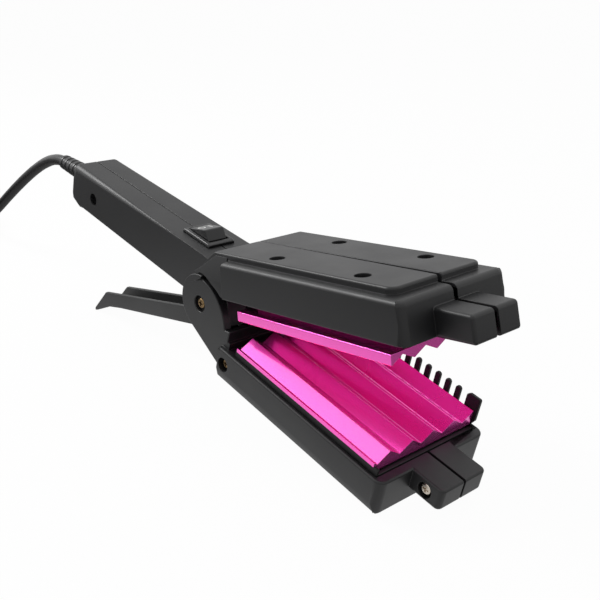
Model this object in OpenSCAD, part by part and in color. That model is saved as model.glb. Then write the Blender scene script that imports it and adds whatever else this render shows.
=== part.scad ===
// Plier-type hair waver: the lower jaw and the handle are one body, the upper head and the
// lever are the other, and both turn on one axle.  Millimetres, +Z up, +X towards the nose.
// The origin lies on the table, below the middle of the waver standing half open on the
// front edge of its lower jaw and the tip of its lever.

/* [Head] */
// Half width of the upper head at its lower edge
head_half_w = 29.4; // [28.6:0.1:32]
// Inward draft of the head's sides, over their height
head_draft = 0.6; // [0:0.1:1.5]
// Height of the head's lower edge above the axle
head_base_z = 5.2; // [4.6:0.1:6]
// Height of the head's shoulder above the axle
head_shoulder_z = 21.1; // [20.8:0.1:22]
// Height of the raised top cover above the axle
cover_top_z = 23.9; // [23.4:0.1:26]
// Half width of the raised top cover
cover_half_w = 24.4; // [24.2:0.1:26]
// Distance of the head's rear wall from the axle
head_rear_x = 18.8; // [18.6:0.1:20]
// Distance of the head's front wall from the axle
head_front_x = 121.6; // [119:0.2:126]
// Distance of the raised cover's front edge from the axle
cover_front_x = 112.7; // [108:0.2:116]
// Length of the nose block in front of the head
nose_len = 17; // [10:0.5:24]
// Half width of the nose blocks
nose_half_w = 12.8; // [10:0.1:16]
// Height of the upper nose block's top above the axle
nose_top_z = 15.8; // [13:0.1:18]
// Radius of the vertical corners at the front of both housings
corner_r = 4; // [2:0.5:7]

/* [Jaw] */
// Half width of the lower jaw
jaw_half_w = 30.3; // [30:0.1:33]
// Depth of the jaw's upper rim below the axle
jaw_rim_depth = 10.3; // [10:0.1:11.5]
// Depth of the jaw's shoulder below the axle
jaw_shoulder_depth = 26.2; // [25.6:0.1:28]
// Depth of the jaw's raised base below the axle
jaw_base_depth = 29; // [28.6:0.1:31]
// Distance of the jaw's rear wall from the axle
jaw_rear_x = 19.2; // [18.8:0.1:19.6]
// Distance of the jaw's front wall from the axle
jaw_front_x = 118.8; // [117:0.2:123]
// Length of the nose block in front of the jaw
jaw_nose_len = 15; // [10:0.5:20]
// Depth of the lower nose block's underside below the axle
jaw_nose_depth = 20; // [18:0.1:22]

/* [Plates] */
// Distance from ridge to ridge of the waving plates
wave_pitch = 12.1; // [11.5:0.1:12.2]
// Height of a wave of the lower plate
wave_h = 4; // [3:0.1:4.2]
// Depth of the lower plate's ridges below the axle
ridge_depth = 2.4; // [2.2:0.1:3]
// Distance of the lower plate's rear end from the axle
plate_rear_x = 29.8; // [29.4:0.1:32]
// Distance of the plates' front ends from the axle
plate_front_x = 112.6; // [108:0.2:113]
// Depth of the upper plate's ridges below the axle
upper_ridge_depth = 3.3; // [3:0.1:3.5]
// Height of a wave of the upper plate
upper_wave_h = 3; // [2.4:0.1:3.2]
// Distance of the upper plate's rear end from the axle
upper_plate_rear_x = 26.2; // [25.8:0.1:28]
// Length of a heater bar
heater_len = 62; // [40:1:72]
// Width of a heater bar
heater_w = 20; // [12:1:24]
// Thickness of a heater bar
heater_h = 4; // [3:0.1:4.5]
// Pitch of the comb's teeth
tooth_pitch = 5.57; // [5:0.01:6]
// Thickness of a comb tooth along the jaw
tooth_w = 2.7; // [2:0.1:3.2]
// Number of comb teeth
teeth = 13; // [8:1:14]
// Height of the comb teeth's tips above the axle
tooth_top_z = 3; // [1:0.1:3.4]

/* [Hinge] */
// Angle between the plates as the waver stands open
open_angle = 19.4; // [17:0.1:20]
// Radius of the round ears round the axle
ear_r = 12; // [11.8:0.1:12.4]
// Half width over the ears
ear_half_w = 28.1; // [27.4:0.1:28.4]
// Thickness of an ear
ear_t = 3.7; // [3.4:0.1:3.9]
// Diameter of the axle
axle_d = 5; // [4:0.1:6]
// Diameter of the screw recess in each ear
pivot_recess_d = 7.4; // [7.2:0.1:8.4]
// Depth of the screw recess in each ear
pivot_recess_depth = 2.2; // [1.8:0.1:2.4]
// Wire diameter of the return spring
spring_wire_d = 1; // [0.8:0.05:1]
// Mean radius of the return spring's turns
spring_r = 6.4; // [5.8:0.1:6.8]

/* [Handle] */
// Half width of the handle
handle_half_w = 13.6; // [13.2:0.1:13.8]
// Height of the handle's top above its own axis
handle_top_z = 11.9; // [11.6:0.1:12]
// Depth of the handle's underside at its rear end
handle_rear_depth = 10.1; // [9.6:0.1:11]
// Depth of the handle's underside at the hinge
handle_front_depth = 11.7; // [11.2:0.1:11.8]
// Distance of the handle's rear end from the axle
handle_len = 142.8; // [136:0.2:150]
// Angle by which the handle lifts off the line of the lower jaw
handle_kick = 2.2; // [1.5:0.1:2.6]

/* [Lever] */
// Half width of the lever
lever_half_w = 7.8; // [7:0.1:7.8]
// Distance of the lever's tip behind the axle
lever_tip_x = 139.2; // [132:0.2:146]
// Depth of the lever's tip below the axle
lever_tip_depth = 32.5; // [31:0.1:34]
// Width of a rail of the lever's channel
lever_rail_w = 2.2; // [1.6:0.1:2.6]

/* [Switch] */
// Distance of the switch from the axle
switch_x = 34; // [32:0.1:38]
// Length of the switch bezel
bezel_len = 21; // [19:0.1:22]
// Width of the switch bezel
bezel_w = 15; // [13.6:0.1:16]
// Height of the switch bezel above the handle
bezel_h = 1.9; // [1.4:0.1:2.2]

/* [Cord] */
// Diameter of the mains cord
cord_d = 6.3; // [5.5:0.1:6.6]
// Length of the strain relief outside the handle
relief_len = 31; // [28:1:34]
// Angle by which the strain relief droops from the handle's line
relief_droop = 3.4; // [2:0.2:5]

/* [Fits] */
// Wall thickness of the housings
wall = 2.2; // [1.8:0.1:2.3]
// Radial play of the turning parts on the axle
running_play = 0.05; // [0.02:0.01:0.08]
// Gap between parts that sit in one another
seat_gap = 0.15; // [0.1:0.01:0.2]
// Gap between parts that move past one another
moving_gap = 0.4; // [0.3:0.05:0.45]
// Thickness of the waving plates behind their deepest groove
plate_back = 3; // [2.4:0.1:3.2]
// Diameter of the housing screws' shanks
screw_d = 2.9; // [2.5:0.1:3]
// Diameter of the housing screws' heads
screw_head_d = 5.6; // [5:0.1:5.7]
// Diameter of the round recesses over the housing screws
recess_d = 6.4; // [6.2:0.1:6.8]

/* [Hidden] */
$fn = 48;
RIGHT = -1;
LEFT = 1;
BIG = 400;
EPS = 0.01;

// How the open waver stands: the jaw's base edge and the lever's tip share one level.
stand_rise = lever_tip_x * sin(open_angle) + lever_tip_depth * cos(open_angle) - jaw_base_depth;
base_front_x = cover_front_x;
stand_run = base_front_x + lever_tip_x * cos(open_angle) - lever_tip_depth * sin(open_angle);
jaw_pitch = atan(stand_rise / stand_run);
head_pitch = open_angle - jaw_pitch;
handle_pitch = jaw_pitch - handle_kick;
axle_z = base_front_x * sin(jaw_pitch) + jaw_base_depth * cos(jaw_pitch);

// Ends of the waver along X, from the axle, and the axle's place over the origin
head_nose_x = head_front_x + nose_len;
reach_front = head_nose_x * cos(head_pitch) - head_base_z * sin(head_pitch);
handle_rear_low_z = -5;
reach_rear = handle_len * cos(handle_pitch) - handle_rear_low_z * sin(handle_pitch);
axle_x = (reach_rear - reach_front) / 2;

// Hinge, from the axle outwards and from the middle plane outwards
ear_inner_y = ear_half_w - ear_t;
cheek_outer_y = ear_inner_y - moving_gap;
cheek_inner_y = handle_half_w + 0.6;
skin_r = 13.4;
skin_in_r = skin_r - 1.8;
hub_r = skin_in_r - 0.6;
lever_hub_r = 9;
cheek_hub_r = 6.2;
drum_r = 14.4;
drum_in_r = 12.4;
neck_gap = 0.4;
lever_slot_y = lever_half_w + 0.6;
bore_r = axle_d / 2 + running_play;
axle_seat = 0.02;
bush_r = 3.6;
handle_wall_y = handle_half_w - wall;

// Plates
first_groove_y = -27.2;
plate_far_y = first_groove_y + 4.5 * wave_pitch;
groove_z = -ridge_depth - wave_h;
plate_back_z = groove_z - plate_back;
lip_y = -29.1;
lip_top_z = groove_z + 1.2;
lip_under_z = groove_z - 0.6;
upper_ridge_z = -upper_ridge_depth;
upper_groove_z = upper_ridge_z + upper_wave_h;
upper_back_z = head_base_z;
upper_strip_z = 1;

// Housings and the heating parts inside
jaw_rim_z = -jaw_rim_depth;
jaw_shoulder_z = -jaw_shoulder_depth;
jaw_base_z = -jaw_base_depth;
jaw_floor_z = jaw_shoulder_z + wall;
clamp_room = 3;
pocket_half_w = 28.5;
pocket_front_x = plate_front_x + 2;
tray_rear_x = plate_rear_x - 1.4;
tray_front_x = pocket_front_x - seat_gap;
tray_top_z = plate_back_z - heater_h - clamp_room;
tray_t = 2;
tray_skirt_y = abs(first_groove_y) + 0.1;
upper_tray_z = upper_back_z + heater_h + clamp_room;
head_cavity_y = head_half_w - head_draft - wall;
ceiling_z = head_shoulder_z - wall;
cover_ceiling_z = cover_top_z - wall;
screw_rows_x = [42.9, 91.2];
screw_y = 17.2;
boss_d = recess_d + 3.2;
screw_floor = 1.8;
screw_head_h = 2.2;
screw_clear = 0.4;
post_d = screw_d + 4;
tongue_screw_y = 4;

// Side screws: place along X and Z in their own frames
jaw_screw_x = jaw_rear_x + 4.2;
jaw_screw_z = -17.2;
nose_screw_x = jaw_front_x + 6.9;
nose_screw_z = -15.2;
handle_screw_x = -handle_len + 24.7;
handle_screw_z = -0.3;
side_recess_depth = 3.2;

// Strain relief and cord
relief_z = 0.5;
relief_x = -handle_len - 0.5;
relief_root_d = cord_d + 4.7;
relief_tip_d = cord_d + 2.1;
relief_neck_d = cord_d + 2.3;
relief_bore_d = cord_d + 0.3;
lead_bore_d = cord_d - 0.7;
relief_rib_len = 2.6;
relief_last_rib = 6;
rib_step_d = 0.4;

// The cord leaves the strain relief, sags to the table and runs to the coil.
CORD_ROUTE = [
    [-166, 0, 78], [-172, 0, 78.4], [-182, 0, 77.4], [-194, 0, 73.6], [-207, 0, 67.6],
    [-220, 0, 60.6], [-233, 0, 53], [-246, 0, 45], [-258, 0, 37.4], [-270, 0, 29.6],
    [-282, 0, 22], [-294, 1, 15], [-307, 5, 9.4], [-320, 10.5, 5.6], [-333, 13.5, 4.2],
    [-345, 13.5, 3.9], [-352, 12, 3.9]
];
// The short end that runs from the coil to the plug
TAIL_ROUTE = [
    [-351, -66, 3.9], [-342, -66.4, 3.9], [-331, -65.4, 3.9], [-320, -62.4, 4.6],
    [-310, -59.6, 5.7], [-300, -58.5, 6.5]
];
CORD_SIDES = 10;
LEAD_SIDES = 8;
coil_x = -345;
coil_y = -27;
coil_turn_gap = 0.2;
coil_in_r = 29.5;
coil_layers = 3;
coil_out_r = coil_in_r + 2 * (cord_d + coil_turn_gap);
coil_h = coil_layers * cord_d + 0.4;
tie_t = 0.6;
tie_w = 4;
tie_gap = 0.05;

// ---------------------------------------------------------------- helpers

// Points of an arc about c, from angle a0 to a1
function arc(c, r, a0, a1, n = 12) =
    [for (i = [0:n]) let (a = a0 + (a1 - a0) * i / n) [c[0] + r * cos(a), c[1] + r * sin(a)]];

// Outline drawn in X and Z, extruded from y0 to y1
module side_slab(points, y0, y1) {
    translate([0, y1, 0]) rotate([90, 0, 0]) linear_extrude(y1 - y0) polygon(points);
}

// Outline drawn in Y and Z, extruded from x0 to x1
module cross_slab(points, x0, x1) {
    translate([x0, 0, 0]) rotate([90, 0, 90]) linear_extrude(x1 - x0) polygon(points);
}

// Box between two corners
module block(low, high) {
    translate(low) cube(high - low);
}

// Round bar along Y
module bar_y(x, z, d, y0, y1) {
    translate([x, y1, z]) rotate([90, 0, 0]) cylinder(d = d, h = y1 - y0);
}

// Round bar along Z
module bar_z(x, y, d, z0, z1) {
    translate([x, y, z0]) cylinder(d = d, h = z1 - z0);
}

// Plan outline of a housing: square rear corners and rounded front corners
function housing_plan(x0, x1, half_w, r) = concat(
    [[x0, -half_w]],
    arc([x1 - r, -half_w + r], r, -90, 0, 8),
    arc([x1 - r, half_w - r], r, 0, 90, 8),
    [[x0, half_w]]
);

// The frames of the three long parts, placed over the table
module in_jaw() {
    translate([axle_x, 0, axle_z]) rotate([0, jaw_pitch, 0]) children();
}
module in_head() {
    translate([axle_x, 0, axle_z]) rotate([0, -head_pitch, 0]) children();
}
module in_handle() {
    translate([axle_x, 0, axle_z]) rotate([0, handle_pitch, 0]) children();
}
// The handle's frame seen from the jaw's frame
module handle_in_jaw() {
    rotate([0, -handle_kick, 0]) children();
}

// Keeps what lies on one side of the middle plane
module one_side(side) {
    intersection() {
        children();
        translate([-BIG / 2, side == LEFT ? 0 : -BIG / 2, -BIG / 2]) cube([BIG, BIG / 2, BIG]);
    }
}

// Housing screw along -Z with its head's underside at z
module housing_screw(x, y, z, len) {
    bar_z(x, y, screw_d, z - len, z);
    difference() {
        bar_z(x, y, screw_head_d, z, z + screw_head_h);
        for (a = [0, 90])
            translate([x, y, z + screw_head_h]) rotate([0, 0, a]) cube([3.4, 0.8, 2], center = true);
    }
}

// Housing screw along +Y with its head's underside at y
module side_screw(x, z, y, len) {
    bar_y(x, z, screw_d, y, y + len);
    difference() {
        bar_y(x, z, screw_head_d, y - screw_head_h, y);
        for (a = [0, 90])
            translate([x, y - screw_head_h, z]) rotate([0, a, 0]) cube([3.4, 2, 0.8], center = true);
    }
}

// ---------------------------------------------------------------- main body

// Side outline of an ear, in the jaw's frame
ear_front_c = [-0.3, -8.1];
ear_front_r = 20;
EAR = concat(
    arc([0, 0], ear_r, 243.6, 84, 24),
    arc(ear_front_c, ear_front_r, 80, 15.7, 10),
    [
        [jaw_rear_x + 3.2, -2.1], [jaw_rear_x + 2.9, -7.1], [jaw_rear_x + 4.4, -7.3],
        [jaw_rear_x + 4.4, jaw_rim_z - EPS], [jaw_rear_x + 4.4, -21.4], [jaw_rear_x, -21.4]
    ]
);

// Closed block behind the lower plate, between the ears
REAR_BLOCK = [
    [jaw_rear_x, -2.7], [jaw_rear_x + 3.2, -2.1], [jaw_rear_x + 2.9, -7.1],
    [jaw_rear_x + 4.4, -7.3], [jaw_rear_x + 4.4, jaw_rim_z - 3], [jaw_rear_x, jaw_rim_z - 3]
];

// Curved skin behind the axle that ties the ears to the handle, then runs to the jaw
SKIN = concat(
    arc([0, 0], skin_r, 95, 243.6, 24),
    [[jaw_rear_x + 1, -22.6], [jaw_rear_x + 1, -20.4]],
    arc([0, 0], skin_in_r - 1, 243.6, 95, 24)
);

// Arc that carries the handle's top on under the neck
DRUM = concat(arc([0, 0], drum_r, 84, 127, 8), arc([0, 0], drum_in_r, 127, 84, 8));

module jaw_outer() {
    // cross section with a slight draft below the rim
    intersection() {
        translate([0, 0, jaw_shoulder_z])
            linear_extrude(jaw_rim_z - jaw_shoulder_z)
                polygon(housing_plan(jaw_rear_x, jaw_front_x, jaw_half_w, corner_r));
        cross_slab([
            [-jaw_half_w, jaw_rim_z + 1], [-jaw_half_w, -21], [-jaw_half_w + 1.6, jaw_shoulder_z],
            [jaw_half_w - 1.6, jaw_shoulder_z], [jaw_half_w, -21], [jaw_half_w, jaw_rim_z + 1]
        ], 0, BIG / 2);
    }
    // raised base
    translate([0, 0, jaw_base_z]) linear_extrude(jaw_shoulder_z - jaw_base_z + 1)
        polygon(housing_plan(jaw_rear_x + 4, base_front_x, cover_half_w, corner_r));
    // nose block
    block([jaw_front_x - 6, -nose_half_w, -jaw_nose_depth],
          [jaw_front_x + jaw_nose_len, nose_half_w, jaw_rim_z]);
}

module jaw_cavity() {
    block([tray_rear_x - seat_gap, -pocket_half_w, jaw_floor_z],
          [pocket_front_x, pocket_half_w, 0]);
    block([jaw_rear_x + wall + 2.2, -pocket_half_w, jaw_floor_z],
          [tray_rear_x, pocket_half_w, jaw_rim_z - 3 - wall]);
    block([jaw_rear_x + 4 + wall, -cover_half_w + wall, jaw_base_z + wall],
          [base_front_x - wall, cover_half_w - wall, jaw_floor_z + EPS]);
    block([pocket_front_x + wall, -nose_half_w + wall, -jaw_nose_depth + wall],
          [jaw_front_x + jaw_nose_len - wall, nose_half_w - wall, jaw_rim_z - wall]);
    // room for the comb's foot beside the plate
    block([tray_rear_x - seat_gap, 0, comb_foot_z - seat_gap],
          [tray_front_x + seat_gap, comb_out_y + seat_gap, 0]);
}

module ears_and_skin() {
    for (side = [RIGHT, LEFT])
        side_slab(EAR, side == RIGHT ? -ear_half_w : ear_inner_y,
                  side == RIGHT ? -ear_inner_y : ear_half_w);
    difference() {
        side_slab(SKIN, -ear_half_w + EPS, ear_half_w - EPS);
        // way for the lever
        block([-BIG / 2, -lever_slot_y, -BIG / 2], [jaw_rear_x - 3, lever_slot_y, 0]);
    }
    side_slab(REAR_BLOCK, -ear_half_w + EPS, ear_half_w - EPS);
    side_slab(DRUM, -handle_half_w + EPS, handle_half_w - EPS);
}

HANDLE_SIDE = [
    [-handle_len + 4.2, handle_top_z], [-handle_len + 0.7, 4.1], [-handle_len, handle_rear_low_z],
    [-handle_len + 1, -9], [-handle_len + 3.8, -handle_rear_depth],
    [-4, -handle_front_depth], [-4, handle_top_z]
];

module handle_outer() {
    side_slab(HANDLE_SIDE, -handle_half_w, handle_half_w);
}

module handle_cavity() {
    rear_x = -handle_len + wall + 3;
    side_slab([
        [rear_x, handle_top_z - wall], [rear_x, -handle_rear_depth + wall],
        [-14, -handle_front_depth + wall + 0.2], [-14, handle_top_z - wall]
    ], -handle_wall_y, handle_wall_y);
    // slot in the underside that the lever closes into
    block([-64, -lever_slot_y, -BIG / 4], [0, lever_slot_y, -4]);
    // way for the switch
    block([-switch_x - bezel_len / 2 + 0.9, -switch_body_w / 2 - seat_gap, 0],
          [-switch_x + bezel_len / 2 - 0.9, switch_body_w / 2 + seat_gap, handle_top_z + 1]);
    // hole for the strain relief
    translate([-handle_len - 5, 0, relief_z]) rotate([0, 90, 0])
        cylinder(d = relief_neck_d + 2 * seat_gap, h = 12);
}

switch_body_w = 12.6;

// Round walls that carry the axle at the handle's sides
module axle_walls() {
    for (y = [-handle_half_w, handle_wall_y])
        bar_y(0, 0, 2 * skin_in_r + 0.4, y, y + wall);
}

// Tube and pilot round one side screw
module screw_tower(x, z, half_w) {
    bar_y(x, z, boss_d - 0.6, -half_w + 1, half_w - 1);
}
module screw_hole(x, z, half_w, len) {
    bar_y(x, z, recess_d, -half_w - 1, -half_w + side_recess_depth);
    bar_y(x, z, screw_d + screw_clear, -half_w, 0.5);
    bar_y(x, z, screw_d + 2 * running_play, 0.4, side_recess_depth - half_w + len + 0.5);
}
long_screw_len = 34;
short_screw_len = 16;

// Screw towers of the tray, standing on the jaw's base
module jaw_towers() {
    for (x = screw_rows_x, y = [-screw_y, screw_y])
        bar_z(x, y, boss_d, jaw_base_z + 1, jaw_tower_z);
}
module jaw_tower_holes() {
    for (x = screw_rows_x, y = [-screw_y, screw_y]) {
        bar_z(x, y, recess_d, jaw_base_z - 1, jaw_tower_z - screw_floor);
        bar_z(x, y, screw_d + screw_clear, jaw_base_z, jaw_tower_z + 1);
    }
}
jaw_tower_z = tray_top_z - tray_t - 1;

module main_body() {
    difference() {
        union() {
            difference() {
                union() {
                    jaw_outer();
                    ears_and_skin();
                    handle_in_jaw() handle_outer();
                }
                jaw_cavity();
                handle_in_jaw() handle_cavity();
                // room for the neck's cheeks and the lever's hub between the ears
                for (side = [RIGHT, LEFT])
                    bar_y(0, 0, 2 * skin_in_r, side == RIGHT ? -ear_inner_y : cheek_inner_y - 0.6,
                          side == RIGHT ? -cheek_inner_y + 0.6 : ear_inner_y);
                bar_y(0, 0, 2 * skin_in_r, -handle_wall_y, handle_wall_y);
            }
            axle_walls();
            jaw_towers();
            intersection() {
                screw_tower(jaw_screw_x, jaw_screw_z, jaw_half_w);
                block([jaw_rear_x, -BIG, -BIG], [BIG, BIG, BIG]);
            }
            screw_tower(nose_screw_x, nose_screw_z, nose_half_w);
            handle_in_jaw() screw_tower(handle_screw_x, handle_screw_z, handle_half_w);
        }
        jaw_tower_holes();
        screw_hole(jaw_screw_x, jaw_screw_z, jaw_half_w, long_screw_len);
        screw_hole(nose_screw_x, nose_screw_z, nose_half_w, short_screw_len);
        handle_in_jaw() screw_hole(handle_screw_x, handle_screw_z, handle_half_w, short_screw_len);
        bar_y(0, 0, axle_d + 2 * axle_seat, -ear_half_w - 1, ear_half_w + 1);
        bar_y(0, 0, pivot_recess_d, -ear_half_w - 1, -ear_half_w + pivot_recess_depth);
        bar_y(0, 0, pivot_recess_d, ear_half_w - pivot_recess_depth, ear_half_w + 1);
    }
}

module main_shell_right() {
    color("#2b2b2d") in_jaw() one_side(RIGHT) main_body();
}

module main_shell_left() {
    color("#2b2b2d") in_jaw() one_side(LEFT) main_body();
}

module lower_plate() {
    wave = [for (k = [0:4]) each [
        [first_groove_y + k * wave_pitch, groove_z],
        [first_groove_y + (k + 0.5) * wave_pitch, -ridge_depth]
    ]];
    color("#e0218a") in_jaw() cross_slab(concat(
        [[lip_y, lip_under_z], [lip_y, lip_top_z], [lip_y + 0.6, lip_top_z]],
        wave,
        [[plate_far_y, plate_back_z], [first_groove_y, plate_back_z], [first_groove_y, lip_under_z]]
    ), plate_rear_x, plate_front_x);
}

heater_x = (plate_rear_x + plate_front_x) / 2;
heater_tab_len = 5;
heater_tab_y = 4;

// Flat heater bar with its two lead tabs, lying on a plate's back
module heater(z) {
    block([heater_x - heater_len / 2, -heater_w / 2, z],
          [heater_x + heater_len / 2, heater_w / 2, z + heater_h]);
    for (y = [-heater_tab_y, heater_tab_y])
        block([heater_x - heater_len / 2 - heater_tab_len, y - 1.5, z + heater_h / 2 - 0.4],
              [heater_x - heater_len / 2 + 1, y + 1.5, z + heater_h / 2 + 0.4]);
}

// Pressed steel bridge that holds a heater bar against its plate
module heater_clamp(z) {
    for (x = [heater_x - heater_len / 4, heater_x + heater_len / 4]) {
        block([x - 4, -heater_w / 2 - 1, z + heater_h], [x + 4, heater_w / 2 + 1, z + heater_h + 1]);
        for (s = [-1, 1]) {
            inner = s * (heater_w / 2 + seat_gap);
            outer = s * (heater_w / 2 + 1);
            block([x - 4, min(inner, outer), z], [x + 4, max(inner, outer), z + heater_h + EPS]);
            foot = s * (heater_w / 2 + 6);
            block([x - 4, min(outer, foot) - EPS, z], [x + 4, max(outer, foot) + EPS, z + 1]);
        }
    }
    block([heater_x - heater_len / 4, -3, z + heater_h], [heater_x + heater_len / 4, 3, z + heater_h + 1]);
}

module lower_heater() {
    color("#c9b28a") in_jaw() mirror([0, 0, 1]) heater(-plate_back_z);
}

module lower_heater_clamp() {
    color("#b4b4b0") in_jaw() mirror([0, 0, 1]) heater_clamp(-plate_back_z);
}

// Comb along the lower plate's far edge
comb_in_y = plate_far_y + 0.25;
comb_out_y = comb_in_y + 1.5;
comb_foot_z = jaw_rim_z - 2.8;
comb_bar_z = -6;
comb_rear_x = plate_rear_x + 0.4;
comb_end_x = plate_front_x + 1.5;
last_tooth_x = plate_front_x - 10.1;

module comb() {
    color("#1d1d1f") in_jaw() {
        block([comb_rear_x, comb_in_y, comb_foot_z], [comb_end_x - 2, comb_out_y, comb_bar_z]);
        for (i = [0:teeth - 1]) {
            x = last_tooth_x - i * tooth_pitch;
            block([x - tooth_w / 2, comb_in_y, comb_bar_z - EPS],
                  [x + tooth_w / 2, comb_out_y, tooth_top_z - tooth_w / 2]);
            bar_y(x, tooth_top_z - tooth_w / 2, tooth_w, comb_in_y, comb_out_y);
        }
        side_slab([
            [comb_end_x - 7, comb_bar_z - 1], [comb_end_x - 7, tooth_top_z - 0.8],
            [comb_end_x - 5.6, tooth_top_z + 0.4], [comb_end_x - 0.4, tooth_top_z + 0.4],
            [comb_end_x, tooth_top_z - 0.4], [comb_end_x, -6.8],
            [comb_end_x - 2, jaw_rim_z], [comb_end_x - 7, jaw_rim_z]
        ], comb_in_y, comb_out_y);
    }
}

// Black tray that carries the lower plate, with a lip in front and a guard beside it
module lower_carrier() {
    guard_y = tray_skirt_y + 1;
    low_z = tray_top_z - tray_t;
    color("#161617") in_jaw() difference() {
        union() {
            block([tray_rear_x, -guard_y, low_z], [tray_front_x, guard_y, tray_top_z]);
            block([tray_rear_x, -guard_y, low_z], [tray_front_x, -tray_skirt_y, lip_under_z - 0.1]);
            block([tray_rear_x, tray_skirt_y, low_z],
                  [tray_front_x, guard_y, comb_foot_z - seat_gap]);
            for (y = [-tray_skirt_y, tray_skirt_y - 2.8])
                block([tray_rear_x, y, tray_top_z - EPS], [tray_front_x, y + 2.8, plate_back_z]);
            block([tray_rear_x, -tray_skirt_y, tray_top_z - EPS],
                  [plate_rear_x - seat_gap, tray_skirt_y - 0.1, plate_back_z]);
            block([plate_front_x + seat_gap, -tray_skirt_y, tray_top_z - EPS],
                  [tray_front_x, tray_skirt_y - 0.1, jaw_rim_z + 1.4]);
            for (x = screw_rows_x, y = [-screw_y, screw_y])
                bar_z(x, y, post_d, jaw_tower_z, low_z + EPS);
        }
        for (x = screw_rows_x, y = [-screw_y, screw_y])
            bar_z(x, y, screw_d + 2 * running_play, jaw_tower_z - 1, tray_top_z + 1);
    }
}

module jaw_screws() {
    color("#8c7a5a") in_jaw() mirror([0, 0, 1])
        for (x = screw_rows_x, y = [-screw_y, screw_y])
            housing_screw(x, y, -(jaw_tower_z - screw_floor), screw_floor + 1 + tray_t + 0.6);
}

module case_screws() {
    color("#b8a888") {
        in_jaw() {
            side_screw(jaw_screw_x, jaw_screw_z, -jaw_half_w + side_recess_depth, long_screw_len);
            side_screw(nose_screw_x, nose_screw_z, -nose_half_w + side_recess_depth,
                       short_screw_len);
        }
        in_handle() side_screw(handle_screw_x, handle_screw_z,
                               -handle_half_w + side_recess_depth, short_screw_len);
    }
}

axle_half_len = ear_half_w - pivot_recess_depth;
pivot_thread_d = 2.5;

module pivot_axle() {
    color("#a9a9a6") in_jaw() difference() {
        bar_y(0, 0, axle_d, -axle_half_len, axle_half_len);
        for (y = [-axle_half_len - 1, axle_half_len - 8])
            bar_y(0, 0, pivot_thread_d + 0.05, y, y + 9);
    }
}

module pivot_screws() {
    color("#9a7b52") in_jaw() for (side = [0, 180])
        rotate([0, 0, side]) {
            head_d = pivot_recess_d - 0.8;
            bar_y(0, 0, pivot_thread_d, -axle_half_len, -axle_half_len + 7);
            difference() {
                bar_y(0, 0, head_d, -axle_half_len - 1.5, -axle_half_len);
                for (a = [0, 90])
                    translate([0, -axle_half_len - 1.5, 0]) rotate([0, a, 0])
                        cube([4.2, 1.6, 0.9], center = true);
            }
        }
}

// Round rod from one point to another
module rod(a, b, d) {
    v = b - a;
    translate(a) rotate([0, acos(v[2] / norm(v)), atan2(v[1], v[0])]) cylinder(d = d, h = norm(v));
}

spring_turns = 3;
spring_y = lever_half_w + 0.2 + spring_wire_d / 2;
turn_pitch = spring_wire_d + 0.03;
spring_leg_d = 0.9 * spring_wire_d;
// The foot rests on the lever's upper edge, beside the hub
foot_x = -8.6;
foot_z = -5.3;
foot_in_y = 5;

module return_spring() {
    color("#8f9092") {
        in_jaw() {
            for (i = [0:spring_turns - 1])
                translate([0, spring_y + i * turn_pitch, 0]) rotate([90, 0, 0])
                    rotate_extrude() translate([spring_r, 0]) circle(d = spring_wire_d, $fn = 24);
            y = spring_y + (spring_turns - 1) * turn_pitch;
            rod([0, y, spring_r], [-sqrt((skin_in_r - 0.5) ^ 2 - spring_r ^ 2), y, spring_r],
                spring_leg_d);
        }
        in_head() {
            rod([-2, spring_y, -spring_r + 0.3], [foot_x, spring_y, foot_z], spring_leg_d);
            rod([foot_x, spring_y + spring_wire_d, foot_z], [foot_x, foot_in_y, foot_z], spring_wire_d);
        }
    }
}

// ---------------------------------------------------------------- switch

bezel_x = -switch_x;
bezel_top_z = handle_top_z + bezel_h;
well_len = bezel_len - 4.2;
well_w = bezel_w - 4;
rocker_w = well_w - 0.4;
rocker_pin_z = handle_top_z - 2;
rocker_pin_d = 3;
switch_low_z = -2;
terminal_rear_x = -6;
terminal_mid_x = 0;

module switch_housing() {
    color("#1b1b1d") in_handle() translate([bezel_x, 0, 0]) difference() {
        union() {
            intersection() {
                block([-bezel_len / 2, -bezel_w / 2, handle_top_z],
                      [bezel_len / 2, bezel_w / 2, bezel_top_z]);
                side_slab([[-bezel_len / 2, handle_top_z], [-bezel_len / 2, bezel_top_z - 0.7],
                           [-well_len / 2, bezel_top_z + 0.5], [well_len / 2, bezel_top_z + 0.5],
                           [bezel_len / 2, bezel_top_z - 0.7], [bezel_len / 2, handle_top_z]],
                          -bezel_w, bezel_w);
            }
            block([-bezel_len / 2 + 1.1, -switch_body_w / 2, switch_low_z],
                  [bezel_len / 2 - 1.1, switch_body_w / 2, handle_top_z + EPS]);
        }
        block([-well_len / 2, -well_w / 2, 3], [well_len / 2, well_w / 2, bezel_top_z + 1]);
        bar_y(0, rocker_pin_z, rocker_pin_d + 2 * running_play,
              -switch_body_w / 2 + 0.4, switch_body_w / 2 - 0.4);
    }
}

module switch_rocker() {
    rocker_l = well_len / 2 - 0.4;
    color("#232325") in_handle() translate([bezel_x, 0, 0]) {
        side_slab([
            [-rocker_l, rocker_pin_z - 1.6], [-rocker_l, bezel_top_z + 0.2],
            [3.2, bezel_top_z + 4], [4, bezel_top_z + 3.6], [rocker_l - 1, bezel_top_z - 0.4],
            [rocker_l - 1, rocker_pin_z - 1.6]
        ], -rocker_w / 2, rocker_w / 2);
        bar_y(0, rocker_pin_z, rocker_pin_d, -switch_body_w / 2 + 0.6, switch_body_w / 2 - 0.6);
    }
}

module switch_terminals() {
    color("#c9a75a") in_handle() translate([bezel_x, 0, 0])
        for (x = [terminal_rear_x, terminal_mid_x])
            block([x - 0.4, -2.4, switch_low_z - 4.5], [x + 0.4, 2.4, switch_low_z]);
}

// ---------------------------------------------------------------- inside the handle

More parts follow.
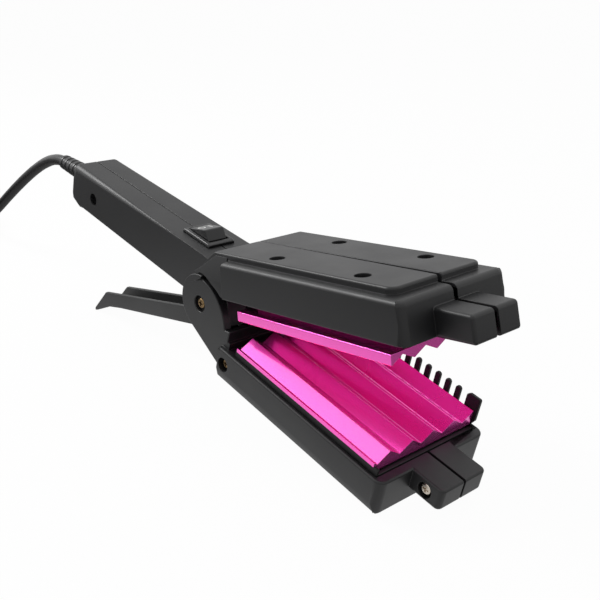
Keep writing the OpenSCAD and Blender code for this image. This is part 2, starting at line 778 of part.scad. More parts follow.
lead_d = 2;
lead_z = -6.4;
lead_y = 3.2;
lead_rear_x = -handle_len + 8;
block_x0 = -handle_len + 34.8;
block_x1 = block_x0 + 16;
fuse_x0 = block_x1 + 6;
fuse_x1 = fuse_x0 + 12;
fuse_d = 4;
// Leads start a little off what they serve and run straight at first
lead_off = 0.4;
lead_straight = 3;
lead_side_y = 9.9;
lead_front_x = bezel_x + 19;

module terminal_block() {
    color("#d9d4c6") in_handle() difference() {
        block([block_x0, -6.5, -7.9], [block_x1, 6.5, 0]);
        for (y = [-lead_y, lead_y]) bar_z((block_x0 + block_x1) / 2, y, 3, -4, 1);
    }
}

module thermal_fuse() {
    color("#c8c8c4") in_handle() translate([fuse_x0, lead_y, lead_z])
        rotate([0, 90, 0]) cylinder(d = fuse_d, h = fuse_x1 - fuse_x0);
}

module handle_wires() {
    rear_x = bezel_x + terminal_rear_x - 0.4 - lead_off;
    mid_x = bezel_x + terminal_mid_x + 0.4 + lead_off;
    color("#7a4a2a") in_handle() {
        for (y = [-lead_y / 2, lead_y / 2])
            tube([[lead_rear_x, y, relief_z], [lead_rear_x + 6, 1.2 * y, relief_z - 1.6],
                  [lead_rear_x + 12, 2 * y, lead_z + 0.6], [lead_rear_x + 20, 2 * y, lead_z],
                  [block_x0 - lead_off, 2 * y, lead_z]], lead_d, LEAD_SIDES);
        tube([[block_x1 + lead_off, -lead_y, lead_z], [fuse_x1, -lead_y, lead_z],
              [rear_x - 9, -lead_y, lead_z + 1], [rear_x - lead_straight, -1.8, -5.2],
              [rear_x, -1.8, -5.2]], lead_d, LEAD_SIDES);
        tube([[block_x1 + lead_off, lead_y, lead_z], [fuse_x0 - lead_off, lead_y, lead_z]],
             lead_d, LEAD_SIDES);
        tube([[fuse_x1 + lead_off, lead_y, lead_z], [fuse_x1 + lead_straight, lead_y, lead_z],
              [fuse_x1 + 8, 6, lead_z + 1], [bezel_x - 8, 9.6, lead_z + 3],
              [bezel_x + 4, lead_side_y, lead_z + 4], [lead_front_x, lead_side_y, lead_z + 4]],
             lead_d, LEAD_SIDES);
        tube([[mid_x, -1, -5.2], [mid_x + lead_straight, -1.2, -5.2], [mid_x + 7, -5.4, -5],
              [mid_x + 11, -9.2, -2], [lead_front_x, -lead_side_y, 2]], lead_d, LEAD_SIDES);
    }
}

module strain_relief() {
    flange_x = -handle_len + wall + 3 + seat_gap;
    color("#202022") in_handle() difference() {
        union() {
            translate([relief_x - 1, 0, relief_z]) rotate([0, 90, 0])
                cylinder(d = relief_neck_d, h = flange_x - relief_x + 1);
            translate([flange_x, 0, relief_z]) rotate([0, 90, 0]) cylinder(d = 12, h = 2);
            translate([relief_x, 0, relief_z]) rotate([0, -90 - relief_droop, 0]) {
                cylinder(d1 = relief_root_d - 1, d2 = relief_tip_d - 1, h = relief_len);
                for (i = [0:relief_last_rib]) {
                    rib_d = relief_root_d - i * rib_step_d;
                    translate([0, 0, i * (relief_len - relief_rib_len) / relief_last_rib])
                        cylinder(d1 = rib_d, d2 = rib_d - 0.3, h = relief_rib_len);
                }
            }
        }
        translate([relief_x - 1, 0, relief_z]) rotate([0, 90, 0])
            cylinder(d = lead_bore_d, h = 20);
        translate([relief_x, 0, relief_z]) rotate([0, -90 - relief_droop, 0])
            translate([0, 0, -1]) cylinder(d = relief_bore_d, h = relief_len + 3);
    }
}

// ---------------------------------------------------------------- cord

// Frames along a route: each ring is turned with the route's direction
function heading(r, i) = let (
    a = r[max(i - 1, 0)], b = r[min(i + 1, len(r) - 1)], d = b - a
) d / norm(d);
function ring(c, t, d, m) = let (
    s = cross(t, [0, 0, 1]), u = s / norm(s), v = cross(u, t)
) [for (k = [0:m - 1]) let (a = 360 * k / m) c + d / 2 * (cos(a) * u + sin(a) * v)];

// Points between the route's own points, on a smooth curve through them
function blend_point(p0, p1, p2, p3, t) = 0.5 * (2 * p1 + (p2 - p0) * t
    + (2 * p0 - 5 * p1 + 4 * p2 - p3) * t ^ 2 + (3 * p1 - p0 - 3 * p2 + p3) * t ^ 3);
function smooth(r) = concat([for (i = [0:len(r) - 2]) each
    [for (t = [0, 0.5]) blend_point(r[max(i - 1, 0)], r[i], r[i + 1], r[min(i + 2, len(r) - 1)], t)]],
    [r[len(r) - 1]]);

module tube(route, d, m = CORD_SIDES) {
    r = smooth(route);
    n = len(r);
    polyhedron(
        points = [for (i = [0:n - 1]) each ring(r[i], heading(r, i), d, m)],
        faces = concat(
            [[for (k = [0:m - 1]) k]],
            [for (i = [0:n - 2], k = [0:m - 1])
                [i * m + k, (i + 1) * m + k, (i + 1) * m + (k + 1) % m, i * m + (k + 1) % m]],
            [[for (k = [m - 1:-1:0]) (n - 1) * m + k]]
        )
    );
}

module cord() {
    color("#1a1a1b") {
        tube(CORD_ROUTE, cord_d);
        tube(TAIL_ROUTE, cord_d);
    }
}

module cord_coil() {
    color("#1a1a1b") translate([coil_x, coil_y, tie_t + tie_gap]) rotate_extrude($fn = 96)
        translate([coil_in_r, 0]) square([coil_out_r - coil_in_r, coil_h]);
}

module cord_tie() {
    color("#303032") translate([coil_x, coil_y, 0]) difference() {
        block([coil_in_r - 2 * tie_t, -tie_w / 2, 0],
              [coil_out_r + 2 * tie_t, tie_w / 2, coil_h + 2 * tie_t + 2 * tie_gap]);
        block([coil_in_r - tie_t, -tie_w, tie_t],
              [coil_out_r + tie_t, tie_w, coil_h + tie_t + 2 * tie_gap]);
    }
}

plug_front_x = -266;
plug_rear_x = -300;
plug_y = -58.5;
plug_h = 13;
plug_w = 22;
pin_gap = 12.7;
pin_len = 17;
pin_root = 6;
pin_t = 1.5;
pin_w = 6.4;

// Both blades, from their roots inside the plug to a reach in front of it
module blades(reach) {
    for (s = [-1, 1])
        block([plug_front_x - pin_root, plug_y + s * pin_gap / 2 - pin_t / 2, (plug_h - pin_w) / 2],
              [plug_front_x + reach, plug_y + s * pin_gap / 2 + pin_t / 2, (plug_h + pin_w) / 2]);
}

module plug_body() {
    color("#1a1a1b") difference() {
        linear_extrude(plug_h) polygon(concat(
            arc([plug_front_x - 3, plug_y + plug_w / 2 - 3], 3, 0, 90, 6),
            [[plug_rear_x + 8, plug_y + plug_w / 2], [plug_rear_x, plug_y + 6],
             [plug_rear_x, plug_y - 6], [plug_rear_x + 8, plug_y - plug_w / 2]],
            arc([plug_front_x - 3, plug_y - plug_w / 2 + 3], 3, -90, 0, 6)
        ));
        blades(1);
    }
}

module plug_pins() {
    color("#c2a35a") blades(pin_len);
}

// ---------------------------------------------------------------- upper body

// Neck from the cover's rear edge down to the axle, in the head's frame
neck_low_r = skin_r + neck_gap;
NECK_TOP = [[head_rear_x + 1, cover_top_z], [10.2, cover_top_z], [-0.3, 17.3], [-4, 14.4]];
CHEEK = concat(
    NECK_TOP,
    arc([0, 0], neck_low_r, 106.2, 72, 6),
    arc([0, 0], hub_r, 72, 285, 30),
    [[15, -9], [15, head_base_z], [head_rear_x + 1, head_base_z]]
);
CHEEK_INSIDE = concat(
    [[head_rear_x + 1.1, cover_ceiling_z], [11.5, cover_ceiling_z], [7, 18]],
    arc([0, 0], hub_r - 2, 58, 285, 24),
    [[12.8, -7], [12.8, head_base_z + wall], [head_rear_x + 1.1, head_base_z + wall]]
);
NECK_ROOF = concat(
    NECK_TOP,
    arc([0, 0], drum_r + 0.5, 105, 88, 4),
    [[11, cover_ceiling_z], [head_rear_x + 1, cover_ceiling_z]]
);
upper_tower_z = upper_tray_z + tray_t + 1;

module head_outer() {
    intersection() {
        translate([0, 0, head_base_z]) linear_extrude(head_shoulder_z - head_base_z)
            polygon(housing_plan(head_rear_x, head_front_x, head_half_w, corner_r));
        cross_slab([
            [-head_half_w, head_base_z - 1], [-head_half_w, head_base_z],
            [-head_half_w + head_draft, head_shoulder_z + 1],
            [head_half_w - head_draft, head_shoulder_z + 1],
            [head_half_w, head_base_z], [head_half_w, head_base_z - 1]
        ], 0, BIG / 2);
    }
    translate([0, 0, head_shoulder_z - 1]) linear_extrude(cover_top_z - head_shoulder_z + 1)
        polygon(housing_plan(head_rear_x, cover_front_x, cover_half_w, corner_r));
    block([head_front_x - 6, -nose_half_w, head_base_z], [head_nose_x, nose_half_w, nose_top_z]);
    for (side = [RIGHT, LEFT])
        side_slab(CHEEK, side == RIGHT ? -cheek_outer_y : cheek_inner_y,
                  side == RIGHT ? -cheek_inner_y : cheek_outer_y);
    side_slab(NECK_ROOF, -cheek_inner_y - EPS, cheek_inner_y + EPS);
}

module head_cavity() {
    block([head_rear_x + wall, -head_cavity_y, -BIG / 4],
          [head_front_x - wall, head_cavity_y, ceiling_z]);
    block([head_rear_x - 2, -cover_half_w + wall, ceiling_z - EPS],
          [cover_front_x - wall, cover_half_w - wall, cover_ceiling_z]);
    block([head_front_x - wall - 1, -nose_half_w + wall, head_base_z + wall],
          [head_nose_x - wall, nose_half_w - wall, nose_top_z - wall]);
    // way for the lever's tongue through the rear wall
    block([head_rear_x - 1, -cheek_inner_y, 0], [head_rear_x + wall + 1, cheek_inner_y, ceiling_z]);
    for (side = [RIGHT, LEFT])
        side_slab(CHEEK_INSIDE, side == RIGHT ? -cheek_outer_y + wall : cheek_inner_y - 1,
                  side == RIGHT ? -cheek_inner_y + 1 : cheek_outer_y - wall);
}

module upper_body() {
    difference() {
        union() {
            difference() {
                head_outer();
                head_cavity();
            }
            for (x = screw_rows_x, y = [-screw_y, screw_y])
                bar_z(x, y, boss_d, upper_tower_z, cover_top_z - 1);
            for (y = [-cheek_outer_y + 1, cheek_inner_y])
                bar_y(0, 0, 2 * cheek_hub_r, y, y + cheek_outer_y - cheek_inner_y - 1);
        }
        for (x = screw_rows_x, y = [-screw_y, screw_y]) {
            bar_z(x, y, recess_d, upper_tower_z + screw_floor, cover_top_z + 1);
            bar_z(x, y, screw_d + screw_clear, upper_tower_z - 1, cover_top_z);
        }
        bar_y(0, 0, 2 * bore_r, -BIG / 4, BIG / 4);
    }
}

module upper_shell_right() {
    color("#2f2f31") in_head() one_side(RIGHT) upper_body();
}

module upper_shell_left() {
    color("#2f2f31") in_head() one_side(LEFT) upper_body();
}

module upper_plate() {
    flange_y = head_cavity_y - 0.4;
    far_y = plate_far_y;
    wave = [for (k = [0:4]) each [
        [first_groove_y + k * wave_pitch, upper_ridge_z],
        [first_groove_y + (k + 0.5) * wave_pitch, upper_groove_z]
    ]];
    color("#e0218a") in_head() cross_slab(concat(
        [[first_groove_y, upper_strip_z]],
        wave,
        [[far_y, upper_strip_z], [flange_y, upper_strip_z], [flange_y, upper_back_z],
         [-flange_y, upper_back_z], [-flange_y, upper_strip_z]]
    ), upper_plate_rear_x, plate_front_x + 0.7);
}

module upper_heater() {
    color("#c9b28a") in_head() heater(upper_back_z);
}

module upper_heater_clamp() {
    color("#b4b4b0") in_head() heater_clamp(upper_back_z);
}

tongue_end_x = 34;
tongue_screw_x = 30;

module upper_carrier() {
    edge_y = head_cavity_y - 0.2;
    x0 = upper_plate_rear_x - 1.4;
    x1 = plate_front_x + 1.9;
    top = upper_tray_z + tray_t;
    color("#161617") in_head() difference() {
        union() {
            block([x0, -edge_y, upper_tray_z], [x1, edge_y, top]);
            for (y = [-edge_y, edge_y - 2.8])
                block([x0, y, upper_back_z], [x1, y + 2.8, upper_tray_z + EPS]);
            block([x1 - 1.8, -edge_y, upper_back_z], [x1, edge_y, upper_tray_z + EPS]);
            for (x = screw_rows_x, y = [-screw_y, screw_y])
                bar_z(x, y, post_d, top - EPS, upper_tower_z);
        }
        for (x = screw_rows_x, y = [-screw_y, screw_y])
            bar_z(x, y, screw_d + 2 * running_play, 0, BIG / 4);
        for (y = [-tongue_screw_y, tongue_screw_y])
            bar_z(tongue_screw_x, y, screw_d + screw_clear, upper_tray_z - 1, top + 1);
    }
}

module cover_screws() {
    color("#8c7a5a") in_head() {
        for (x = screw_rows_x, y = [-screw_y, screw_y])
            housing_screw(x, y, upper_tower_z + screw_floor, screw_floor + 1 + tray_t + 0.6);
        for (y = [-tongue_screw_y, tongue_screw_y])
            housing_screw(tongue_screw_x, y, upper_tray_z + tray_t, tray_t + 3.5);
    }
}

// Lever: hub on the axle, tongue forward into the head, channel-shaped grip behind
LEVER_SIDE = concat(
    [[-42.5, -13.3], [-lever_tip_x + 15.4, -19.4], [-lever_tip_x + 0.6, -lever_tip_depth + 1.9],
     [-lever_tip_x, -lever_tip_depth], [-lever_tip_x + 2.7, -lever_tip_depth + 0.5],
     [-lever_tip_x + 17, -27.6], [-lever_tip_x + 30, -26.3], [-36.6, -22], [0, -19], [7, -13]],
    arc([0, 0], lever_hub_r, -50, -8, 6),
    [[15, 6.5], [tongue_end_x, 7.5], [tongue_end_x, upper_tray_z], [14, upper_tray_z]],
    arc([0, 0], lever_hub_r, 60, 219, 20)
);
LEVER_CHANNEL = [
    [-22, 0], [-22, -17.8], [-lever_tip_x + 30, -24], [-lever_tip_x + 15, -25.6],
    [-lever_tip_x - 1, -lever_tip_depth + 2.6], [-lever_tip_x - 1, 0]
];

module lever() {
    color("#2a2a2c") in_head() difference() {
        side_slab(LEVER_SIDE, -lever_half_w, lever_half_w);
        side_slab(LEVER_CHANNEL, -lever_half_w + lever_rail_w, lever_half_w - lever_rail_w);
        bar_y(0, 0, 2 * bush_r + 0.04, -BIG / 4, BIG / 4);
        for (y = [-tongue_screw_y, tongue_screw_y])
            bar_z(tongue_screw_x, y, screw_d + 2 * running_play, upper_tray_z - 4, BIG / 4);
    }
}

module pivot_bush() {
    color("#b08d4f") in_head() difference() {
        bar_y(0, 0, 2 * bush_r, -lever_half_w, lever_half_w);
        bar_y(0, 0, 2 * bore_r, -BIG / 4, BIG / 4);
    }
}

main_shell_right();
main_shell_left();
lower_plate();
lower_heater();
lower_heater_clamp();
lower_carrier();
comb();
jaw_screws();
case_screws();
pivot_axle();
pivot_screws();
return_spring();
switch_housing();
switch_rocker();
switch_terminals();
thermal_fuse();
terminal_block();
handle_wires();
strain_relief();
cord();
cord_coil();
cord_tie();
plug_body();
plug_pins();
upper_shell_right();
upper_shell_left();
upper_plate();
upper_heater();
upper_heater_clamp();
upper_carrier();
cover_screws();
lever();
pivot_bush();
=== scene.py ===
"""Dresses the hair waver: moulded black housings, lacquered waving plates, switch, screws and mains cord."""

import logging
import math
from collections.abc import Callable
from dataclasses import dataclass
from enum import Enum

import bmesh
import bpy
from mathutils import Matrix, Quaternion, Vector


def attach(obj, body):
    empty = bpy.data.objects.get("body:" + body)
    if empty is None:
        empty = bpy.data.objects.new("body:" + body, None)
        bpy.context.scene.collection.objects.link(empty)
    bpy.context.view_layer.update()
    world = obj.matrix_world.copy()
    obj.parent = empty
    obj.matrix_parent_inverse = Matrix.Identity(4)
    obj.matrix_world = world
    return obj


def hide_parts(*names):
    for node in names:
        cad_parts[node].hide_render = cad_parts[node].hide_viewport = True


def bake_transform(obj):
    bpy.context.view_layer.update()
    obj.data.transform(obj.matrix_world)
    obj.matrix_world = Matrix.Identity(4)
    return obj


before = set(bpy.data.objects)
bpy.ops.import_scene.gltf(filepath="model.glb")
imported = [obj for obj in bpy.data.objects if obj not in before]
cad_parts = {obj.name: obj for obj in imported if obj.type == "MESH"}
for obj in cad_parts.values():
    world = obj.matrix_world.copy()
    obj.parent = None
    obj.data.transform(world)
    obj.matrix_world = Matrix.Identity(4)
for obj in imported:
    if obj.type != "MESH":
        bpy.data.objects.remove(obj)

Pair = tuple[float, float]
Point = tuple[float, float, float]
LOG = logging.getLogger("waver")
MM = 0.001
# The middle of the axle, in the object's own frame, in millimetres
AXLE = (2.541668, 0.0, 51.078716)
# Edges that bend more than this stay sharp in the shading, and soften breaks them
SHARP_DEG = 32.0
# Facets that bend less than this are one flat face
FLAT_DEG = 0.4
# How far an edge bends, in degrees, to be picked for rounding
SQUARE, STEEP, BLUNT = 60.0, 50.0, 40.0
# A direction whose share along an axis is larger than this runs along it
ALONG = 0.9
# Gaps in millimetres: of vertices that are one, of a bar's closing ring, of places that are the same,
# and of the middle plane
WELD, RING_WELD, SAME, MIDDLE = 0.002, 0.01, 0.05, 0.02
# Margins in millimetres: that still touches a face, and that is clear of it
TOUCH, CLEAR = 0.1, 0.3
# Sides of what is turned round
ROUND_SIDES = 40
WHITE = "#ffffff"
# Patches of colour and gloss: how their noise breaks up, and the part of its range that is used
PATCH_NOISE = {"Detail": 3.0, "Roughness": 0.55}
PATCH_RANGE = {"From Min": 0.3, "From Max": 0.7}
GRAIN_DETAIL = 2.0
# A finish that is less metallic than this takes its own IOR; a metal keeps the shader's
METAL_FROM = 0.5


class Body(Enum):
    """The rigid bodies that pieces ride on."""

    MAIN = "main"
    UPPER = "upper"
    ROCKER = "rocker"


class Place(Enum):
    """The frames in which the pieces are made: pitch about the axle in degrees, or none for the table's."""

    TABLE = None
    JAW = 11.605234
    HEAD = -7.794766
    HANDLE = 9.405234

    def matrix(self) -> Matrix:
        """Gives the way from this frame to the object's own frame.

        Returns:
            The frame's place and turn, in metres.
        """
        if self is Place.TABLE:
            return Matrix.Identity(4)
        axle = Matrix.Translation([v * MM for v in AXLE])
        return axle @ Matrix.Rotation(math.radians(self.value), 4, "Y")


def same(value: float, wanted: float, within: float = SAME) -> bool:
    """Tells if two places in millimetres are the same."""
    return abs(value - wanted) < within


def linear(hex_colour: str) -> tuple[float, float, float, float]:
    """Turns an sRGB hex colour to the linear colour that shaders take.

    Args:
        hex_colour: Six hex digits with a leading hash.

    Returns:
        Linear red, green, blue and an alpha of 1.
    """
    parts = [int(hex_colour[i : i + 2], 16) / 255 for i in (1, 3, 5)]
    made = [c / 12.92 if c <= 0.04045 else ((c + 0.055) / 1.055) ** 2.4 for c in parts]
    return (made[0], made[1], made[2], 1.0)


def add_node(
    tree: bpy.types.NodeTree,
    kind: str,
    links: dict[str | int, bpy.types.NodeSocket] | None = None,
    values: dict[str | int, object] | None = None,
    **settings: object,
) -> bpy.types.Node:
    """Adds a shader node with its settings, constant inputs and links.

    Args:
        tree: The node tree that takes the node.
        kind: The node's type name in Blender.
        links: Input name or index to the output that feeds it.
        values: Input name or index to its constant value.
        **settings: Properties of the node itself.

    Returns:
        The new node.
    """
    node = tree.nodes.new(kind)
    for name, value in settings.items():
        setattr(node, name, value)
    for key, value in (values or {}).items():
        node.inputs[key].default_value = value
    for key, output in (links or {}).items():
        tree.links.new(output, node.inputs[key])
    return node


def add_object(name: str, data: bpy.types.ID) -> bpy.types.Object:
    """Puts a new object in the scene.

    Args:
        name: Its name.
        data: The mesh, curve, camera or lamp that it holds.

    Returns:
        The new object.
    """
    made = bpy.data.objects.new(name, data)
    bpy.context.scene.collection.objects.link(made)
    return made


# ---------------------------------------------------------------- finishes


@dataclass(frozen=True)
class Grain:
    """A fine random surface, by its real size and height in millimetres."""

    size_mm: float
    height_mm: float
    strength: float = 1.0
    stretch: Point = (1.0, 1.0, 1.0)


@dataclass(frozen=True)
class Finish:
    """A finish of one real material, with its colour drift, gloss drift and grain."""

    name: str
    colour: str
    drift: str
    roughness: Pair
    grain: Grain
    metallic: float = 0.0
    ior: float = 1.5
    coat: float = 0.0
    coat_roughness: float = 0.1
    patch_mm: float = 18.0

    def build(self) -> bpy.types.Material:
        """Makes the material, once, and returns it on every later call.

        Returns:
            The material named for this finish.
        """
        made = bpy.data.materials.get(self.name)
        if made is not None:
            return made
        made = bpy.data.materials.new(self.name)
        made.use_nodes = True
        tree = made.node_tree
        shader = tree.nodes["Principled BSDF"]
        place = add_node(tree, "ShaderNodeTexCoord").outputs["Object"]
        broad = {"Scale": 1 / (self.patch_mm * MM), **PATCH_NOISE}
        patches = add_node(tree, "ShaderNodeTexNoise", {"Vector": place}, broad).outputs["Fac"]
        colours = {6: linear(self.colour), 7: linear(self.drift)}
        tint = add_node(tree, "ShaderNodeMix", {"Factor": patches}, colours, data_type="RGBA").outputs[2]
        spread = {**PATCH_RANGE, "To Min": self.roughness[0], "To Max": self.roughness[1]}
        gloss = add_node(tree, "ShaderNodeMapRange", {"Value": patches}, spread).outputs["Result"]
        along = add_node(tree, "ShaderNodeMapping", {"Vector": place}, {"Scale": self.grain.stretch})
        tight = {"Scale": 1 / (self.grain.size_mm * MM), "Detail": GRAIN_DETAIL}
        fine = add_node(tree, "ShaderNodeTexNoise", {"Vector": along.outputs["Vector"]}, tight).outputs["Fac"]
        depth = {"Strength": self.grain.strength, "Distance": self.grain.height_mm * MM}
        bump = add_node(tree, "ShaderNodeBump", {"Height": fine}, depth).outputs["Normal"]
        for name, output in (("Base Color", tint), ("Roughness", gloss), ("Normal", bump)):
            tree.links.new(output, shader.inputs[name])
        values = {"Metallic": self.metallic, "Coat Weight": self.coat, "Coat Roughness": self.coat_roughness}
        if self.metallic < METAL_FROM:
            values["IOR"] = self.ior
        for name, value in values.items():
            shader.inputs[name].default_value = value
        return made

    def dress(self, piece: bpy.types.Object) -> None:
        """Puts this finish on every slot of a piece.

        Args:
            piece: The piece.
        """
        made = self.build()
        if not piece.data.materials:
            piece.data.materials.append(made)
        for held in piece.material_slots:
            held.material = made


# Moulded ABS, spark-eroded to a fine satin: near black, with a soft broad sheen and a sandy grain.
# The real grain is about 0.1 mm; it is drawn at 0.35 mm to show at all.
CASING = Finish("moulded_abs_satin", "#131314", "#171719", (0.42, 0.48), Grain(0.35, 0.008, 0.25), ior=1.45)
# The same ABS where it was moulded against a smoother tool: a tighter sheen on the lever.
LEVER_ABS = Finish("moulded_abs_smooth", "#131314", "#171718", (0.44, 0.5), Grain(0.5, 0.006, 0.2), ior=1.45)
# Glass-filled PBT of the heat-proof trays and the comb: blacker, with a slight shine.
TRAY_PBT = Finish("heatproof_pbt", "#0c0c0d", "#101011", (0.5, 0.58), Grain(0.6, 0.012, 0.3), ior=1.4)
# Extruded aluminium under a clear pink lacquer: satin facets that pick up the pink they face,
# below a sharp clear gloss. The draw lines are 0.1 mm apart, drawn at 0.5 mm to show.
PLATE_LACQUER = Finish(
    "pink_lacquered_aluminium",
    "#ff54c8",
    "#fd4fc2",
    (0.24, 0.28),
    Grain(0.5, 0.001, 0.2, (0.03, 1.0, 1.0)),
    metallic=0.85,
    coat=1.0,
    coat_roughness=0.04,
    patch_mm=30.0,
)
# Zinc-plated, yellow passivated screw: pale bronze with small cloudy patches.
BRONZE_SCREW = Finish(
    "yellow_passivated_screw", "#8a7352", "#6b5638", (0.26, 0.38), Grain(0.3, 0.006), 1.0, patch_mm=1.5
)
# Nickel-plated screw in the nose: pale, bright and a little warm.
NICKEL_SCREW = Finish("nickel_plated_screw", "#cfc6ba", "#b9afa2", (0.2, 0.3), Grain(0.3, 0.005), 1.0, patch_mm=1.5)
# Screws deep in their recesses, painted near black as painted shade for the dark of the recess, with a dull grey shine.
RECESS_SHADE_SCREW = Finish("recess_shade_dark_screw", "#2a2a2c", "#1d1d1f", (0.4, 0.5), Grain(0.3, 0.006), 1.0, patch_mm=1.5)
# Turned steel of the axle, with lathe lines across it.
TURNED_STEEL = Finish(
    "turned_steel", "#b4b4b2", "#a2a2a0", (0.22, 0.34), Grain(0.2, 0.004, 0.6, (1.0, 0.1, 1.0)), 1.0, patch_mm=3.0
)
# Drawn spring wire: grey, tight-grained, with a straw tint from tempering.
SPRING_WIRE = Finish("drawn_spring_wire", "#94959a", "#7f7a72", (0.28, 0.4), Grain(0.15, 0.004), 1.0, patch_mm=2.0)
# Pressed, galvanised sheet of the heater clamps: light grey with a faint spangle.
CLAMP_SHEET = Finish("galvanised_sheet", "#b9bab8", "#a1a3a2", (0.3, 0.5), Grain(0.8, 0.01), 1.0, patch_mm=4.0)
# Cut brass of terminals, plug blades and the bush.
BRASS = Finish("cut_brass", "#c4a257", "#b08d45", (0.24, 0.36), Grain(0.25, 0.004), 1.0, patch_mm=3.0)
# Drawn aluminium can of the thermal fuse: pale and even.
FUSE_CAN = Finish("drawn_aluminium_can", "#c9cac8", "#b9bab8", (0.25, 0.35), Grain(0.3, 0.004), 1.0, patch_mm=3.0)
# Polyimide-wrapped heater: glossy amber film with small wrinkles.
HEATER_WRAP = Finish(
    "polyimide_heater_wrap", "#b98a3c", "#a87a30", (0.2, 0.32), Grain(1.2, 0.02), coat=0.4, patch_mm=6.0
)
# Natural nylon of the terminal block: waxy, off-white.
NYLON = Finish("natural_nylon", "#d8d2c2", "#cdc6b4", (0.4, 0.5), Grain(0.5, 0.008), patch_mm=8.0)
# Fibreglass sleeve over the leads: brown and woven, drawn as a coarse fuzz.
LEAD_SLEEVE = Finish("fibreglass_sleeve", "#7b4e2e", "#6a4226", (0.6, 0.75), Grain(0.4, 0.03), patch_mm=4.0)
# Flexible PVC of cord, relief and plug: black, softly shining, a little rippled from extrusion.
CORD_PVC = Finish("flexible_pvc", "#0b0b0c", "#101011", (0.26, 0.34), Grain(0.9, 0.01, 0.3), ior=1.45, patch_mm=9.0)
# Polyethylene strap of the cord tie: dark grey, waxy.
TIE_STRAP = Finish("polyethylene_strap", "#2c2c2e", "#343436", (0.4, 0.5), Grain(0.5, 0.01), patch_mm=5.0)
# Gloss-moulded ABS of the rocker and bezel: catches a clear highlight on each bevel.
SWITCH_ABS = Finish(
    "gloss_moulded_switch", "#151516", "#1a1a1c", (0.28, 0.34), Grain(0.6, 0.002, 0.15), ior=1.45, patch_mm=7.0
)
# White pad-printed ink of the switch marks: matt, a little uneven.
PRINT_INK = Finish("pad_printed_ink", "#f4f4f2", "#e6e6e4", (0.45, 0.55), Grain(0.2, 0.004), patch_mm=1.0)

NODE_FINISH: dict[str, Finish] = {
    node: finish
    for finish, nodes in (
        (CASING, "main_shell_right main_shell_left upper_shell_right upper_shell_left"),
        (LEVER_ABS, "lever"),
        (PLATE_LACQUER, "lower_plate upper_plate"),
        (TRAY_PBT, "lower_carrier upper_carrier comb"),
        (HEATER_WRAP, "lower_heater upper_heater"),
        (CLAMP_SHEET, "lower_heater_clamp upper_heater_clamp"),
        # These screws' near-black finish is painted shade for their dark recesses
        (RECESS_SHADE_SCREW, "jaw_screws cover_screws"),
        (BRONZE_SCREW, "case_screws pivot_screws"),
        (TURNED_STEEL, "pivot_axle"),
        (BRASS, "pivot_bush switch_terminals plug_pins"),
        (SPRING_WIRE, "return_spring"),
        (SWITCH_ABS, "switch_housing switch_rocker"),
        (FUSE_CAN, "thermal_fuse"),
        (NYLON, "terminal_block"),
        (LEAD_SLEEVE, "handle_wires"),
        (CORD_PVC, "strain_relief cord cord_coil plug_body"),
        (TIE_STRAP, "cord_tie"),
    )
    for node in nodes.split()
}


# ---------------------------------------------------------------- working on a piece


@dataclass(frozen=True)
class Spot:
    """Where an edge or vertex lies, in millimetres in its piece's frame."""

    x: float
    y: float
    z: float
    along: Vector
    bend: float

    def near(self, axis: str, *values: float, within: float = 0.08) -> bool:
        """Tells if the size of one coordinate is close to any of these values."""
        return any(abs(abs(getattr(self, axis)) - abs(v)) < within for v in values)


@dataclass(frozen=True)
class Rounding:
    """One pass of edge rounding: by how much, in how many facets, and on which edges."""

    radius_mm: float
    facets: int
    bend_deg: float
    edges: Callable[[Spot], bool]
    off_middle: float = 0.0

    def takes(self, spot: Spot) -> bool:
        """Tells if an edge bends enough, keeps off the middle plane and passes the pass's own test."""
        return spot.bend > self.bend_deg and abs(spot.y) >= self.off_middle and self.edges(spot)


